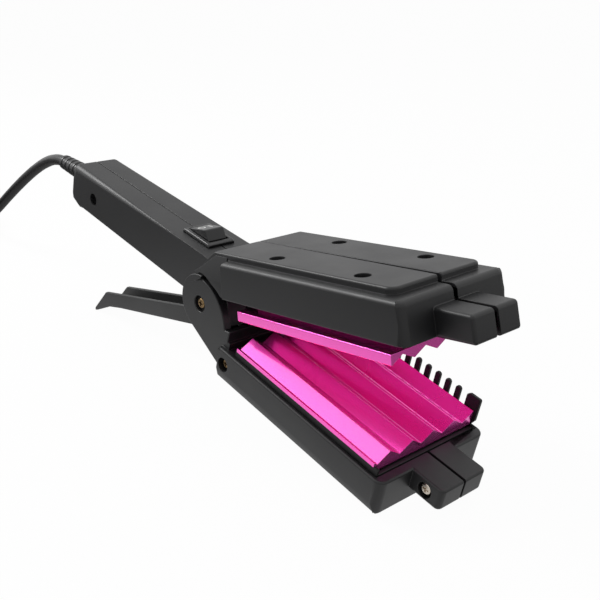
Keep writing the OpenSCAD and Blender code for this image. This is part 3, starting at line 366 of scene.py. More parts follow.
class Workpiece:
    """A mesh that is shaped by hand in one of the object's frames."""

    def __init__(self, made: bpy.types.Object, place: Place) -> None:
        """Holds a Blender object and the frame that its mesh is drawn in."""
        self.made = made
        self.place = place

    @classmethod
    def primitive(cls, name: str, place: Place) -> "Workpiece":
        """Takes the primitive that was just added, with its size and place in its mesh.

        Args:
            name: The new piece's name.
            place: The frame that it is drawn in.

        Returns:
            The new piece.
        """
        made = bpy.context.object
        made.name = name
        bpy.ops.object.transform_apply(location=True, rotation=True, scale=True)
        return cls(made, place)

    @classmethod
    def copy_of(cls, node: str, name: str, place: Place) -> "Workpiece":
        """Copies a CAD node, merges its loose triangles and lays it in a frame.

        Args:
            node: The CAD node.
            name: The new piece's name.
            place: The frame to work in.

        Returns:
            The new piece.
        """
        made = add_object(name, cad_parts[node].data.copy())
        made.data.materials.clear()
        piece = cls(made, Place.TABLE)
        with piece:
            piece.weld(WELD)
            bpy.ops.mesh.dissolve_limited(angle_limit=math.radians(FLAT_DEG), delimit=set())
        piece.turn_to(place)
        return piece

    @classmethod
    def box(cls, name: str, place: Place, low: tuple[float, ...], high: tuple[float, ...]) -> "Workpiece":
        """Adds a cube between two corners in millimetres.

        Args:
            name: The new piece's name.
            place: The frame that it is drawn in.
            low: Its lowest corner.
            high: Its highest corner.

        Returns:
            The new piece.
        """
        middle = [(a + b) / 2 * MM for a, b in zip(low, high)]
        bpy.ops.mesh.primitive_cube_add(size=1, location=middle)
        bpy.context.object.scale = [(b - a) * MM for a, b in zip(low, high)]
        return cls.primitive(name, place)

    @classmethod
    def ribbon(
        cls,
        name: str,
        place: Place,
        run: Pair,
        profile: list[Pair],
        across: bool = False,
    ) -> "Workpiece":
        """Draws one long edge from face to face round a closed profile, and closes both ends.

        Args:
            name: The new piece's name.
            place: The frame that it is drawn in.
            run: Where the bar starts and ends, in millimetres.
            profile: Its corners, in order: Y and Z, or X and Z if it runs across.
            across: Whether it runs along Y instead of X.

        Returns:
            The new piece.
        """

        def spread(far: float, a: float, b: float) -> Point:
            """Orders a run and a profile's pair as X, Y and Z."""
            return (a, far, b) if across else (far, a, b)

        bpy.ops.mesh.primitive_plane_add(size=1, location=Vector(spread(run[0], *profile[0])) * MM)
        bpy.context.object.scale = (MM, MM, MM)
        piece = cls.primitive(name, place)
        with piece:
            bpy.ops.mesh.select_mode(type="VERT")
            bpy.ops.mesh.select_all(action="SELECT")
            bpy.ops.mesh.merge(type="CENTER")
            piece.extrude(spread(run[1] - run[0], 0, 0))
            bpy.ops.mesh.select_all(action="SELECT")
            corners = [*profile[1:], profile[0]]
            for start, end in zip(profile, corners):
                piece.extrude(spread(0, end[0] - start[0], end[1] - start[1]))
            piece.weld(RING_WELD)
            bpy.ops.mesh.fill_holes(sides=0)
            bpy.ops.mesh.select_all(action="SELECT")
            bpy.ops.mesh.normals_make_consistent(inside=False)
        return piece

    def pick_alone(self) -> None:
        """Selects this piece alone and makes it the active one."""
        bpy.ops.object.select_all(action="DESELECT")
        self.made.select_set(True)
        bpy.context.view_layer.objects.active = self.made

    def __enter__(self) -> "Workpiece":
        """Opens the piece alone in edit mode.

        Returns:
            The piece itself.
        """
        self.pick_alone()
        bpy.ops.object.mode_set(mode="EDIT")
        return self

    def __exit__(self, *_: object) -> None:
        """Closes edit mode."""
        bpy.ops.object.mode_set(mode="OBJECT")

    def turn_to(self, place: Place) -> None:
        """Draws the same mesh in another frame.

        Args:
            place: The frame.
        """
        self.pick_alone()
        self.made.matrix_world = place.matrix().inverted() @ self.place.matrix()
        bpy.ops.object.transform_apply(location=True, rotation=True, scale=True)
        self.place = place

    def extrude(self, step: Point) -> None:
        """Extrudes what is selected by a step in millimetres."""
        bpy.ops.mesh.extrude_region_move(TRANSFORM_OT_translate={"value": [v * MM for v in step]})

    def weld(self, gap_mm: float) -> None:
        """Merges the vertices that lie closer than a gap in millimetres, in edit mode."""
        bpy.ops.mesh.select_all(action="SELECT")
        bpy.ops.mesh.remove_doubles(threshold=gap_mm * MM)

    def pick_edges(self, wanted: Callable[[Spot], bool]) -> int:
        """Selects the edges that pass a test, in edit mode.

        Args:
            wanted: The test of an edge's middle, direction and bend in degrees.

        Returns:
            How many edges are selected.
        """
        bpy.ops.mesh.select_mode(type="EDGE")
        bpy.ops.mesh.select_all(action="DESELECT")
        work = bmesh.from_edit_mesh(self.made.data)
        count = 0
        for edge in work.edges:
            middle = (edge.verts[0].co + edge.verts[1].co) / 2 / MM
            along = (edge.verts[1].co - edge.verts[0].co).normalized()
            bend = math.degrees(edge.calc_face_angle(0.0))
            if wanted(Spot(*middle, along, bend)):
                edge.select_set(True)
                count += 1
        bmesh.update_edit_mesh(self.made.data)
        return count

    def pick_faces(self, wanted: Callable[[Vector, Vector], bool]) -> None:
        """Selects the faces that pass a test, in edit mode.

        Args:
            wanted: The test of a face's middle in millimetres and of its normal.
        """
        bpy.ops.mesh.select_mode(type="FACE")
        bpy.ops.mesh.select_all(action="DESELECT")
        work = bmesh.from_edit_mesh(self.made.data)
        for face in work.faces:
            face.select_set(wanted(face.calc_center_median() / MM, face.normal))
        bmesh.update_edit_mesh(self.made.data)

    def shift(self, step: Point, wanted: Callable[[Vector], bool]) -> None:
        """Moves the vertices that pass a test.

        Args:
            step: How far they move, in millimetres.
            wanted: The test of a vertex's place in millimetres.
        """
        with self:
            bpy.ops.mesh.select_mode(type="VERT")
            bpy.ops.mesh.select_all(action="DESELECT")
            work = bmesh.from_edit_mesh(self.made.data)
            for vertex in work.verts:
                vertex.select_set(wanted(vertex.co / MM))
            work.select_flush(True)
            bmesh.update_edit_mesh(self.made.data)
            bpy.ops.transform.translate(value=[v * MM for v in step])

    def round_edges(self, *passes: Rounding) -> None:
        """Rounds the edges, one pass after another.

        Args:
            *passes: The passes, in order.
        """
        with self:
            for step in passes:
                if self.pick_edges(step.takes):
                    bpy.ops.mesh.bevel(
                        offset_type="OFFSET",
                        offset=step.radius_mm * MM,
                        segments=step.facets,
                        profile=0.5,
                        affect="EDGES",
                        clamp_overlap=False,
                    )

    def soften(self, radius_mm: float, facets: int = 2) -> None:
        """Rounds every edge that is still sharp with a small modifier bevel.

        Args:
            radius_mm: The radius.
            facets: Facets across each edge.
        """
        bevel = self.made.modifiers.new("edge_rounding", "BEVEL")
        bevel.width = radius_mm * MM
        bevel.segments = facets
        bevel.limit_method = "ANGLE"
        bevel.angle_limit = math.radians(SHARP_DEG)
        bevel.use_clamp_overlap = False
        self.apply(bevel)

    def apply(self, modifier: bpy.types.Modifier) -> None:
        """Applies one modifier of this piece."""
        self.pick_alone()
        bpy.ops.object.modifier_apply(modifier=modifier.name)

    def cut_away(self, tool: "Workpiece") -> None:
        """Cuts another piece's form out of this one, and deletes that piece.

        Args:
            tool: The other piece.
        """
        cut = self.made.modifiers.new("cut", "BOOLEAN")
        cut.operation = "DIFFERENCE"
        cut.solver = "EXACT"
        cut.object = tool.made
        self.apply(cut)
        bpy.data.objects.remove(tool.made)

    def settle(self, body: Body | None, finish: Finish, slot: str, *nodes: str) -> bpy.types.Object:
        """Smooths, places and dresses the piece and lets it ride on its body.

        Args:
            body: The body that it moves with, or None for a piece that rides on no body.
            finish: Its finish.
            slot: The name of a material slot; it is not used.
            *nodes: The CAD nodes that it stands for.

        Returns:
            The finished Blender object.
        """
        self.turn_to(Place.TABLE)
        bpy.ops.object.shade_smooth_by_angle(angle=math.radians(SHARP_DEG))
        even = self.made.modifiers.new("even_normals", "WEIGHTED_NORMAL")
        even.keep_sharp = True
        self.apply(even)
        finish.dress(self.made)
        if body is not None:
            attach(self.made, body.value)
        if nodes:
            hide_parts(*nodes)
        LOG.info("%s rides on %s in %s", self.made.name, body.value if body else "two bodies", finish.name)
        return self.made


# ---------------------------------------------------------------- cord


@dataclass
class MainsCord:
    """The mains cord with its strain relief, coil, tie and plug."""

    diameter_mm: float = 6.3
    length_m: float = 1.5
    coil_centre: Pair = (-345.0, -27.0)
    inner_r: float = 32.75
    outer_r: float = 39.25
    layers_z: Point = (3.8, 10.1, 16.4)
    enter_deg: float = 100.0
    last_deg: float = 161.0
    change_deg: float = 70.0
    step_deg: float = 12.0
    guard_edge: float = 0.3
    blade_edge: float = 0.3
    strap_edge: float = 0.2
    plug_r: float = 1.6
    plug_z: Pair = (0.0, 13.0)
    plug_grip_x: float = -266.5
    route: tuple[Point, ...] = (
        (-166, 0, 78), (-172, 0, 78.4), (-182, 0, 77.4), (-194, 0, 73.6), (-207, 0, 67.6), (-220, 0, 60.6),
        (-233, 0, 53), (-246, 0, 45), (-258, 0, 37.4), (-270, 0, 29.6), (-282, 0, 22), (-294, 1, 15),
        (-307, 5, 9.4), (-320, 10.5, 5.6), (-333, 13.5, 4.2), (-345, 13.5, 3.9),
    )  # fmt: skip
    tail: tuple[Point, ...] = (
        (-342, -66.4, 3.9), (-331, -65.4, 3.9), (-320, -62.4, 4.6), (-310, -59.6, 5.7), (-300, -58.5, 6.5),
        (-297, -58.5, 6.5),
    )  # fmt: skip

    def coil_points(self) -> list[Point]:
        """Winds the spare length: up the inner turns and down the outer ones.

        Returns:
            The points of the winding, in millimetres.
        """
        low, middle, high = self.layers_z
        tracks = [
            (self.outer_r, low), (self.inner_r, low), (self.inner_r, middle), (self.inner_r, high),
            (self.outer_r, high), (self.outer_r, middle), (self.outer_r, low),
        ]  # fmt: skip
        # Where a turn changes place it bulges a little, so that it clears its neighbours
        bulges = [(0.0, 0.0), (-1.2, 0.0), (-1.2, 0.0), (0.0, 1.2), (1.0, 0.0), (1.0, 0.0)]
        points = []
        end = 360 * (len(tracks) - 2) + self.last_deg
        for i in range(round(end / self.step_deg) + 1):
            turned = min(i * self.step_deg, end)
            lap = min(int(turned // 360), len(tracks) - 2)
            share = min((turned - 360 * lap) / self.change_deg, 1.0)
            eased = share * share * (3 - 2 * share)
            swell = math.sin(math.pi * share)
            (r0, z0), (r1, z1), (out, up) = tracks[lap], tracks[lap + 1], bulges[lap]
            r = r0 + (r1 - r0) * eased + out * swell
            z = z0 + (z1 - z0) * eased + up * swell
            angle = math.radians(self.enter_deg + turned)
            points.append((self.coil_centre[0] + r * math.cos(angle), self.coil_centre[1] + r * math.sin(angle), z))
        return points

    def curve(self) -> bpy.types.Object:
        """Draws the cord's centreline and gives it its thickness.

        Returns:
            The cord as a curve of one open spline.
        """
        line = bpy.data.curves.new("mains_cord", "CURVE")
        line.dimensions = "3D"
        line.resolution_u = 3
        line.bevel_depth = self.diameter_mm / 2 * MM
        line.bevel_resolution = 5
        line.use_fill_caps = True
        spline = line.splines.new("BEZIER")
        points = [*self.route, *self.coil_points(), *self.tail]
        spline.bezier_points.add(len(points) - 1)
        for held, point in zip(spline.bezier_points, points):
            held.co = Vector(point) * MM
            held.handle_left_type = held.handle_right_type = "AUTO"
        made = add_object("mains_cord", line)
        CORD_PVC.dress(made)
        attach(made, Body.MAIN.value)
        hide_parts("cord", "cord_coil")
        return made

    def build(self) -> None:
        cord = self.curve()
        relief = Workpiece.copy_of("strain_relief", "cord_guard", Place.HANDLE)
        relief.soften(self.guard_edge)
        plug = Workpiece.copy_of("plug_body", "plug_moulding", Place.TABLE)
        grip = Rounding(self.plug_r, 4, SQUARE, lambda s: s.near("z", *self.plug_z) and s.x < self.plug_grip_x)
        plug.round_edges(grip)
        pins = Workpiece.copy_of("plug_pins", "plug_blades", Place.TABLE)
        pins.soften(self.blade_edge, 3)
        tie = Workpiece.copy_of("cord_tie", "cord_strap", Place.TABLE)
        tie.soften(self.strap_edge)
        held = [
            relief.settle(Body.MAIN, CORD_PVC, "cord_rubber", "strain_relief"),
            plug.settle(Body.MAIN, CORD_PVC, "cord_rubber", "plug_body"),
            pins.settle(Body.MAIN, BRASS, "terminal_brass", "plug_pins"),
            tie.settle(Body.MAIN, TIE_STRAP, "cord_tie", "cord_tie"),
        ]


# ---------------------------------------------------------------- housings


@dataclass
class UpperHead:
    """The upper head: two mouldings with a cover step, a leaning nose and a wide open seam."""

    shoulder_z: float = 21.1
    cover_z: float = 23.9
    base_z: float = 5.2
    nose_z: float = 15.8
    front_x: float = 121.6
    cover_front_x: float = 112.7
    rear_x: float = 18.8
    neck_x: float = 10.2
    neck_y: float = 24.0
    cover_y: float = 24.4
    nose_x: float = 138.6
    front_lean: float = 2.2
    nose_lean: float = 1.6
    seam_mm: float = 1.0
    neck_seam_mm: float = 0.2
    shoulder_r: float = 2.2
    cover_r: float = 1.1
    nose_r: float = 1.4
    base_r: float = 0.8
    edge_mm: float = 0.35
    # Limits that part the edges of one form from those beside it
    seam_clear: float = 1.2
    side_y: float = 26.5
    base_side_y: float = 28.6
    rim_x: float = 108.0
    rim_y: float = 22.0
    ledge_mm: float = 2.0
    nose_root_mm: float = 0.9
    neck_reach_mm: float = 0.5
    front_depth_mm: float = 2.1
    # The slanting sides of the neck, and the slope that trims them
    cheek_edge: float = 0.3
    cheek_top_z: float = 22.4
    cheek_lead: float = 0.5
    cheek_slope: Pair = (0.958, 0.286)
    cheek_y: Pair = (23.6, 27.6)
    cheek: tuple[Pair, ...] = (
        (-3.0, 13.7), (-3.2, 14.3), (0.4, 16.1), (10.6, 22.4), (18.8, 22.4), (18.8, 5.2), (15.4, 5.2),
        (15.24, 5.49), (13.58, 7.16), (11.78, 8.62), (9.83, 9.9), (8.0, 11.43), (5.9, 12.64), (3.61, 13.47),
        (1.22, 13.9), (-1.22, 13.9),
    )  # fmt: skip

    def roundings(self) -> tuple[Rounding, ...]:
        """Gives the roundings in the order that they are made.

        Returns:
            The passes for one half of the head.
        """
        clear = self.seam_clear
        return (
            Rounding(self.shoulder_r, 6, STEEP, lambda s: s.near("z", self.shoulder_z)
                     and (abs(s.y) > self.side_y or s.x > self.cover_front_x + self.ledge_mm), clear),
            Rounding(self.cover_r, 5, SQUARE, lambda s: s.near("z", self.cover_z) and s.x > self.neck_x - TOUCH
                     and (abs(s.y) > self.rim_y or s.x > self.rim_x)
                     and not (s.x < self.rear_x and abs(s.along.y) > ALONG), clear),
            Rounding(self.nose_r, 5, STEEP, lambda s: s.x > self.front_x - self.nose_root_mm
                     and s.z < self.nose_z + TOUCH
                     and ((s.near("z", self.nose_z, self.base_z) and s.x > self.front_x + CLEAR)
                          or s.x > self.nose_x - self.nose_lean - SAME), clear),
            Rounding(self.base_r, 3, SQUARE, lambda s: s.near("z", self.base_z), self.base_side_y),
        )  # fmt: skip

    def add_cheek(self, side: int, name: str) -> None:
        """Adds the slanting side of the neck, in front of the ear.

        Args:
            side: -1 for the right side and 1 for the left.
            name: The new piece's name.
        """
        inner, outer = self.cheek_y
        out, up = self.cheek_slope
        piece = Workpiece.ribbon(name, Place.HEAD, (side * inner, side * outer), list(self.cheek), across=True)
        with piece:
            bpy.ops.mesh.select_all(action="SELECT")
            bpy.ops.mesh.bisect(
                plane_co=Vector((0, side * (self.neck_y + self.cheek_lead), self.cheek_top_z)) * MM,
                plane_no=(0, side * out, up),
                use_fill=True,
                clear_outer=True,
            )
        piece.soften(self.cheek_edge)
        piece.settle(Body.UPPER, CASING, "casing")

    def build(self) -> None:
        """Makes both halves and the neck's sides."""
        rise = (self.nose_z - self.base_z) / (self.shoulder_z - self.base_z)
        neck_end = self.rear_x + self.neck_reach_mm
        front_from = self.front_x - self.front_depth_mm
        for side, name in ((-1, "right"), (1, "left")):
            piece = Workpiece.copy_of(f"upper_shell_{name}", f"head_moulding_{name}", Place.HEAD)
            piece.shift((0, side * self.seam_mm, 0), lambda v: same(v.y, 0, MIDDLE) and v.x > neck_end)
            piece.shift((0, side * self.neck_seam_mm, 0), lambda v: same(v.y, 0, MIDDLE) and v.x <= neck_end)
            # The front faces lean back towards their tops
            piece.shift((-self.front_lean, 0, 0), lambda v: v.x > front_from and same(v.z, self.shoulder_z))
            piece.shift((-self.front_lean * rise, 0, 0), lambda v: same(v.x, self.front_x) and same(v.z, self.nose_z))
            piece.shift((-self.nose_lean, 0, 0), lambda v: same(v.x, self.nose_x) and same(v.z, self.nose_z))
            # The neck's top runs on in the line of the cover's edge
            piece.shift(
                (0, side * (self.cover_y - self.neck_y), 0),
                lambda v: same(abs(v.y), self.neck_y) and same(v.z, self.cover_z),
            )
            with piece:
                piece.weld(WELD)
            piece.round_edges(*self.roundings())
            piece.soften(self.edge_mm)
            piece.settle(Body.UPPER, CASING, "casing", f"upper_shell_{name}")
            self.add_cheek(side, f"neck_cheek_{name}")


@dataclass
class LowerBody:
    """The lower jaw, ears and handle: two mouldings, with an open seam in the jaw and a fine one in the handle."""

    rim_z: float = -10.3
    shoulder_z: float = -26.2
    jaw_y: float = 30.3
    jaw_rear_x: float = 19.2
    jaw_front_x: float = 118.8
    nose_x: float = 133.8
    nose_y: float = 12.8
    nose_low_z: float = -20.0
    ear_y: float = 28.1
    handle_top_z: float = 11.9
    handle_y: float = 13.6
    jaw_seam_mm: float = 0.55
    handle_seam_mm: float = 0.22
    nose_r: float = 2.4
    nose_foot_r: float = 1.8
    rim_r: float = 1.0
    shoulder_r: float = 1.5
    ear_r: float = 0.5
    handle_r: float = 3.6
    handle_foot_r: float = 1.5
    edge_mm: float = 0.25
    # Limits that part the edges of one form from those beside it
    seam_clear: float = 0.9
    seam_split_x: float = 90.0
    side_y: float = 26.5
    corner_y: float = 26.2
    corner_depth_mm: float = 3.8
    rim_rear_mm: float = 4.6
    foot_depth_mm: float = 1.8
    ear_reach_mm: float = 4.0
    handle_from_x: float = -12.0
    handle_end_x: float = -138.0
    handle_foot_z: float = -9.7
    # The foot of the front corner's crease, and how its sliver of an edge is closed
    crease_foot: Pair = (117.98, 28.7)
    sliver_step: Pair = (0.15, -0.18)
    sliver_within: float = 0.06
    sliver_weld: float = 0.05

    def jaw_roundings(self) -> tuple[Rounding, ...]:
        """Gives the jaw's roundings, in its own frame.

        Returns:
            The passes for one half.
        """
        clear = self.seam_clear
        return (
            Rounding(self.nose_r, 5, SQUARE, lambda s: s.near("x", self.nose_x) and s.near("y", self.nose_y)),
            Rounding(self.nose_foot_r, 5, BLUNT, lambda s: s.near("z", self.nose_low_z)
                     and s.x > self.jaw_front_x + CLEAR, clear),
            Rounding(self.rim_r, 4, SQUARE, lambda s: s.near("z", self.rim_z)
                     and s.x > self.jaw_rear_x + self.rim_rear_mm
                     and (s.near("y", self.jaw_y) or s.x > self.jaw_front_x - TOUCH
                          or (s.x > self.jaw_front_x - self.corner_depth_mm and abs(s.y) > self.corner_y)), clear),
            Rounding(self.shoulder_r, 4, BLUNT, lambda s: s.near("z", self.shoulder_z)
                     and s.x > self.jaw_rear_x + CLEAR
                     and (abs(s.y) > self.side_y or s.x > self.jaw_front_x - self.foot_depth_mm), clear),
            Rounding(self.ear_r, 3, SQUARE, lambda s: s.near("y", self.ear_y)
                     and s.x < self.jaw_rear_x + self.ear_reach_mm),
        )  # fmt: skip

    def corner_foot(self, side: int) -> Vector:
        """Gives the point where the front corner's crease reaches the bottom edge."""
        return Vector((self.crease_foot[0], side * self.crease_foot[1], self.shoulder_z))

    def handle_roundings(self) -> tuple[Rounding, ...]:
        """Gives the handle's roundings, in its own frame.

        Returns:
            The passes for one half.
        """
        return (
            Rounding(self.handle_r, 8, SQUARE, lambda s: s.near("y", self.handle_y) and s.x < self.handle_from_x
                     and (s.z > self.handle_top_z - TOUCH or s.x < self.handle_end_x)),
            Rounding(self.handle_foot_r, 4, SQUARE, lambda s: s.near("y", self.handle_y)
                     and s.x < self.handle_from_x and s.z < self.handle_foot_z),
        )  # fmt: skip

    def build(self) -> None:
        """Makes both halves."""
        split, (ahead, across) = self.seam_split_x, self.sliver_step
        for side, name in ((-1, "right"), (1, "left")):
            piece = Workpiece.copy_of(f"main_shell_{name}", f"body_moulding_{name}", Place.JAW)
            piece.shift((0, side * self.jaw_seam_mm, 0), lambda v: same(v.y, 0, MIDDLE) and v.x > split)
            piece.shift((0, side * self.handle_seam_mm, 0), lambda v: same(v.y, 0, MIDDLE) and v.x <= split)
            foot = self.corner_foot(side)
            piece.shift((ahead, side * across, 0), lambda v: (v - foot).length < self.sliver_within)
            with piece:
                piece.weld(self.sliver_weld)
            piece.round_edges(*self.jaw_roundings())
            piece.turn_to(Place.HANDLE)
            piece.round_edges(*self.handle_roundings())
            piece.soften(self.edge_mm)
            piece.settle(Body.MAIN, CASING, "casing", f"main_shell_{name}")


@dataclass
class SqueezeLever:
    """The lever below the handle, with its open channel."""

    edge_mm: float = 0.6

    def build(self) -> None:
        """Makes the lever."""
        piece = Workpiece.copy_of("lever", "squeeze_lever", Place.HEAD)
        piece.soften(self.edge_mm, 3)
        piece.settle(Body.UPPER, LEVER_ABS, "casing", "lever")


@dataclass
class ReturnSpring:
    """The torsion spring on the axle; on the real tool its foot goes with the lever while its other leg stays."""

    still_y: float = 10.05
    turned_y: float = 9.55

    def build(self) -> None:
        """Makes the spring and fixes it in place, riding on no body."""
        spring = Workpiece.copy_of("return_spring", "torsion_spring", Place.TABLE)
        made = spring.settle(None, SPRING_WIRE, "spring_steel", "return_spring")
        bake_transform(made)


# ---------------------------------------------------------------- heating parts


@dataclass
class WavingPlates:
    """The two corrugated plates, drawn as bars of one profile with softly broken ridges."""

    pitch: float = 12.1
    first_y: float = -27.2
    far_y: float = 27.25
    groove_z: float = -6.4
    ridge_z: float = -2.4
    back_z: float = -9.4
    waves: int = 5
    lip_y: float = -29.1
    lip_w: float = 0.7
    lip_z: Pair = (-7.0, -5.2)
    lower_x: Pair = (29.8, 112.6)
    upper_ridge_z: float = -3.3
    upper_groove_z: float = -0.3
    strip_z: float = 1.0
    flange_y: float = 16.5
    upper_back_z: float = 5.2
    upper_x: Pair = (26.2, 113.3)
    ridge_mm: float = 0.3
    ridge_deg: float = 30.0
    edge_mm: float = 0.15

    def wave(self, first_z: float, second_z: float) -> list[Pair]:
        """Gives the corners of the wave, from one edge to the other.

        Args:
            first_z: The height at each whole pitch.
            second_z: The height at each half pitch.

        Returns:
            The corners in Y and Z.
        """
        return [
            (self.first_y + (k + half) * self.pitch, second_z if half else first_z)
            for k in range(self.waves)
            for half in (0.0, 0.5)
        ]

    def finish_plate(self, piece: Workpiece, body: Body, node: str) -> None:
        """Breaks a plate's edges and dresses it.

        Args:
            piece: The plate.
            body: The body that it rides on.
            node: The CAD node that it stands for.
        """
        piece.round_edges(Rounding(self.ridge_mm, 3, self.ridge_deg, lambda s: abs(s.along.x) > ALONG))
        piece.soften(self.edge_mm)
        piece.settle(body, PLATE_LACQUER, "waving_plate", node)

    def build(self) -> None:
        """Makes the lower and the upper plate."""
        low, top = self.lip_z
        lower = Workpiece.ribbon("lower_waving_plate", Place.JAW, self.lower_x, [
            (self.lip_y, low), (self.lip_y, top), (self.lip_y + self.lip_w, top),
            *self.wave(self.groove_z, self.ridge_z),
            (self.far_y, self.back_z), (self.first_y, self.back_z), (self.first_y, low),
        ])  # fmt: skip
        self.finish_plate(lower, Body.MAIN, "lower_plate")
        upper = Workpiece.ribbon("upper_waving_plate", Place.HEAD, self.upper_x, [
            (self.first_y, self.strip_z), *self.wave(self.upper_ridge_z, self.upper_groove_z),
            (self.far_y, self.strip_z), (self.flange_y, self.strip_z), (self.flange_y, self.upper_back_z),
            (-self.flange_y, self.upper_back_z), (-self.flange_y, self.strip_z),
        ])  # fmt: skip
        self.finish_plate(upper, Body.UPPER, "upper_plate")


@dataclass
class TraysAndComb:
    """The heat-proof trays round the plates and the comb beside the lower one."""

    tray_edge_mm: float = 0.25
    comb_edge_mm: float = 0.35
    front_wall_x: float = 112.0
    front_wall_z: float = -8.9
    front_wall_drop: float = 0.9

    def build(self) -> None:
        """Makes the trays and the comb."""
        for node, body, place in (
            ("lower_carrier", Body.MAIN, Place.JAW),
            ("upper_carrier", Body.UPPER, Place.HEAD),
        ):
            piece = Workpiece.copy_of(node, f"{node}_moulding", place)
            if place is Place.JAW:
                # The low wall in front of the plate stands just proud of the rim
                piece.shift(
                    (0, 0, -self.front_wall_drop), lambda v: same(v.z, self.front_wall_z) and v.x > self.front_wall_x
                )
            piece.soften(self.tray_edge_mm)
            piece.settle(body, TRAY_PBT, "heat_tray", node)
        comb = Workpiece.copy_of("comb", "guide_comb", Place.JAW)
        comb.soften(self.comb_edge_mm)
        comb.settle(Body.MAIN, TRAY_PBT, "heat_tray", "comb")


# ---------------------------------------------------------------- screws and switch


@dataclass(frozen=True)
class ScrewSeat:
    """One screw that is seen from the side: its place, its side and its finish."""

    name: str
    place: Place
    x: float
    z: float
    seat_y: float
    side: int
    finish: Finish
    slot: str
    head_d: float = 5.4
    head_h: float = 1.5
    shank_d: float = 2.9
    shank_len: float = 10.0


@dataclass
class SideScrews:
    """Domed cross-head screws in the side recesses and on the pivot."""

    cross_w: float = 0.7
    cross_len: float = 2.7
    cross_depth: float = 0.7
    cross_over: float = 0.5
    dome_mm: float = 0.7
    dome_facets: int = 5

    def screw(self, seat: ScrewSeat) -> Workpiece:
        """Turns a domed head on a shank and cuts the cross recess.

        Args:
            seat: Where the screw sits.

        Returns:
            The screw.
        """
        middle = Vector((seat.x, seat.seat_y + seat.side * seat.head_h / 2, seat.z)) * MM
        bpy.ops.mesh.primitive_cylinder_add(
            vertices=ROUND_SIDES,
            radius=seat.head_d / 2 * MM,
            depth=seat.head_h * MM,
            location=middle,
            rotation=(math.radians(-90 * seat.side), 0, 0),
        )
        piece = Workpiece.primitive(seat.name, seat.place)
        with piece:
            piece.pick_faces(lambda c, n: n.y * seat.side > ALONG)
            bpy.ops.mesh.bevel(
                offset=self.dome_mm * MM, segments=self.dome_facets, affect="EDGES", clamp_overlap=False
            )
            piece.pick_faces(lambda c, n: n.y * seat.side < -ALONG)
            bpy.ops.mesh.inset(thickness=(seat.head_d - seat.shank_d) / 2 * MM)
            piece.extrude((0, -seat.side * seat.shank_len, 0))
        top = seat.seat_y + seat.side * seat.head_h
        for wide, tall in ((self.cross_len, self.cross_w), (self.cross_w, self.cross_len)):
            ends = sorted((top - seat.side * self.cross_depth, top + seat.side * self.cross_over))
            slot = Workpiece.box(
                f"{seat.name}_slot",
                seat.place,
                (seat.x - wide / 2, ends[0], seat.z - tall / 2),
                (seat.x + wide / 2, ends[1], seat.z + tall / 2),
            )
            piece.cut_away(slot)
        return piece

    def build(self) -> None:
        """Makes the side screws and the pivot screws."""
        case, pivot = "screw_steel", "pivot_screw"
        for seat in (
            ScrewSeat("jaw_side_screw", Place.JAW, 23.4, -17.2, -27.1, -1, BRONZE_SCREW, case, head_d=4.6),
            ScrewSeat("nose_side_screw", Place.JAW, 125.7, -15.2, -9.6, -1, NICKEL_SCREW, case, head_d=4.9, head_h=2.4),
            # Its near-black finish is painted shade for the dark recess round it
            ScrewSeat("handle_side_screw", Place.HANDLE, -118.1, -0.3, -10.4, -1, RECESS_SHADE_SCREW, case),
            ScrewSeat("pivot_screw_right", Place.JAW, 0, 0, -25.9, -1, BRONZE_SCREW, pivot, head_d=4.7, shank_len=7.0),
            ScrewSeat("pivot_screw_left", Place.JAW, 0, 0, 25.9, 1, BRONZE_SCREW, pivot, head_d=4.7, shank_len=7.0),
        ):
            self.screw(seat).settle(Body.MAIN, seat.finish, seat.slot)
        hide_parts("case_screws")
        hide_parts("pivot_screws")


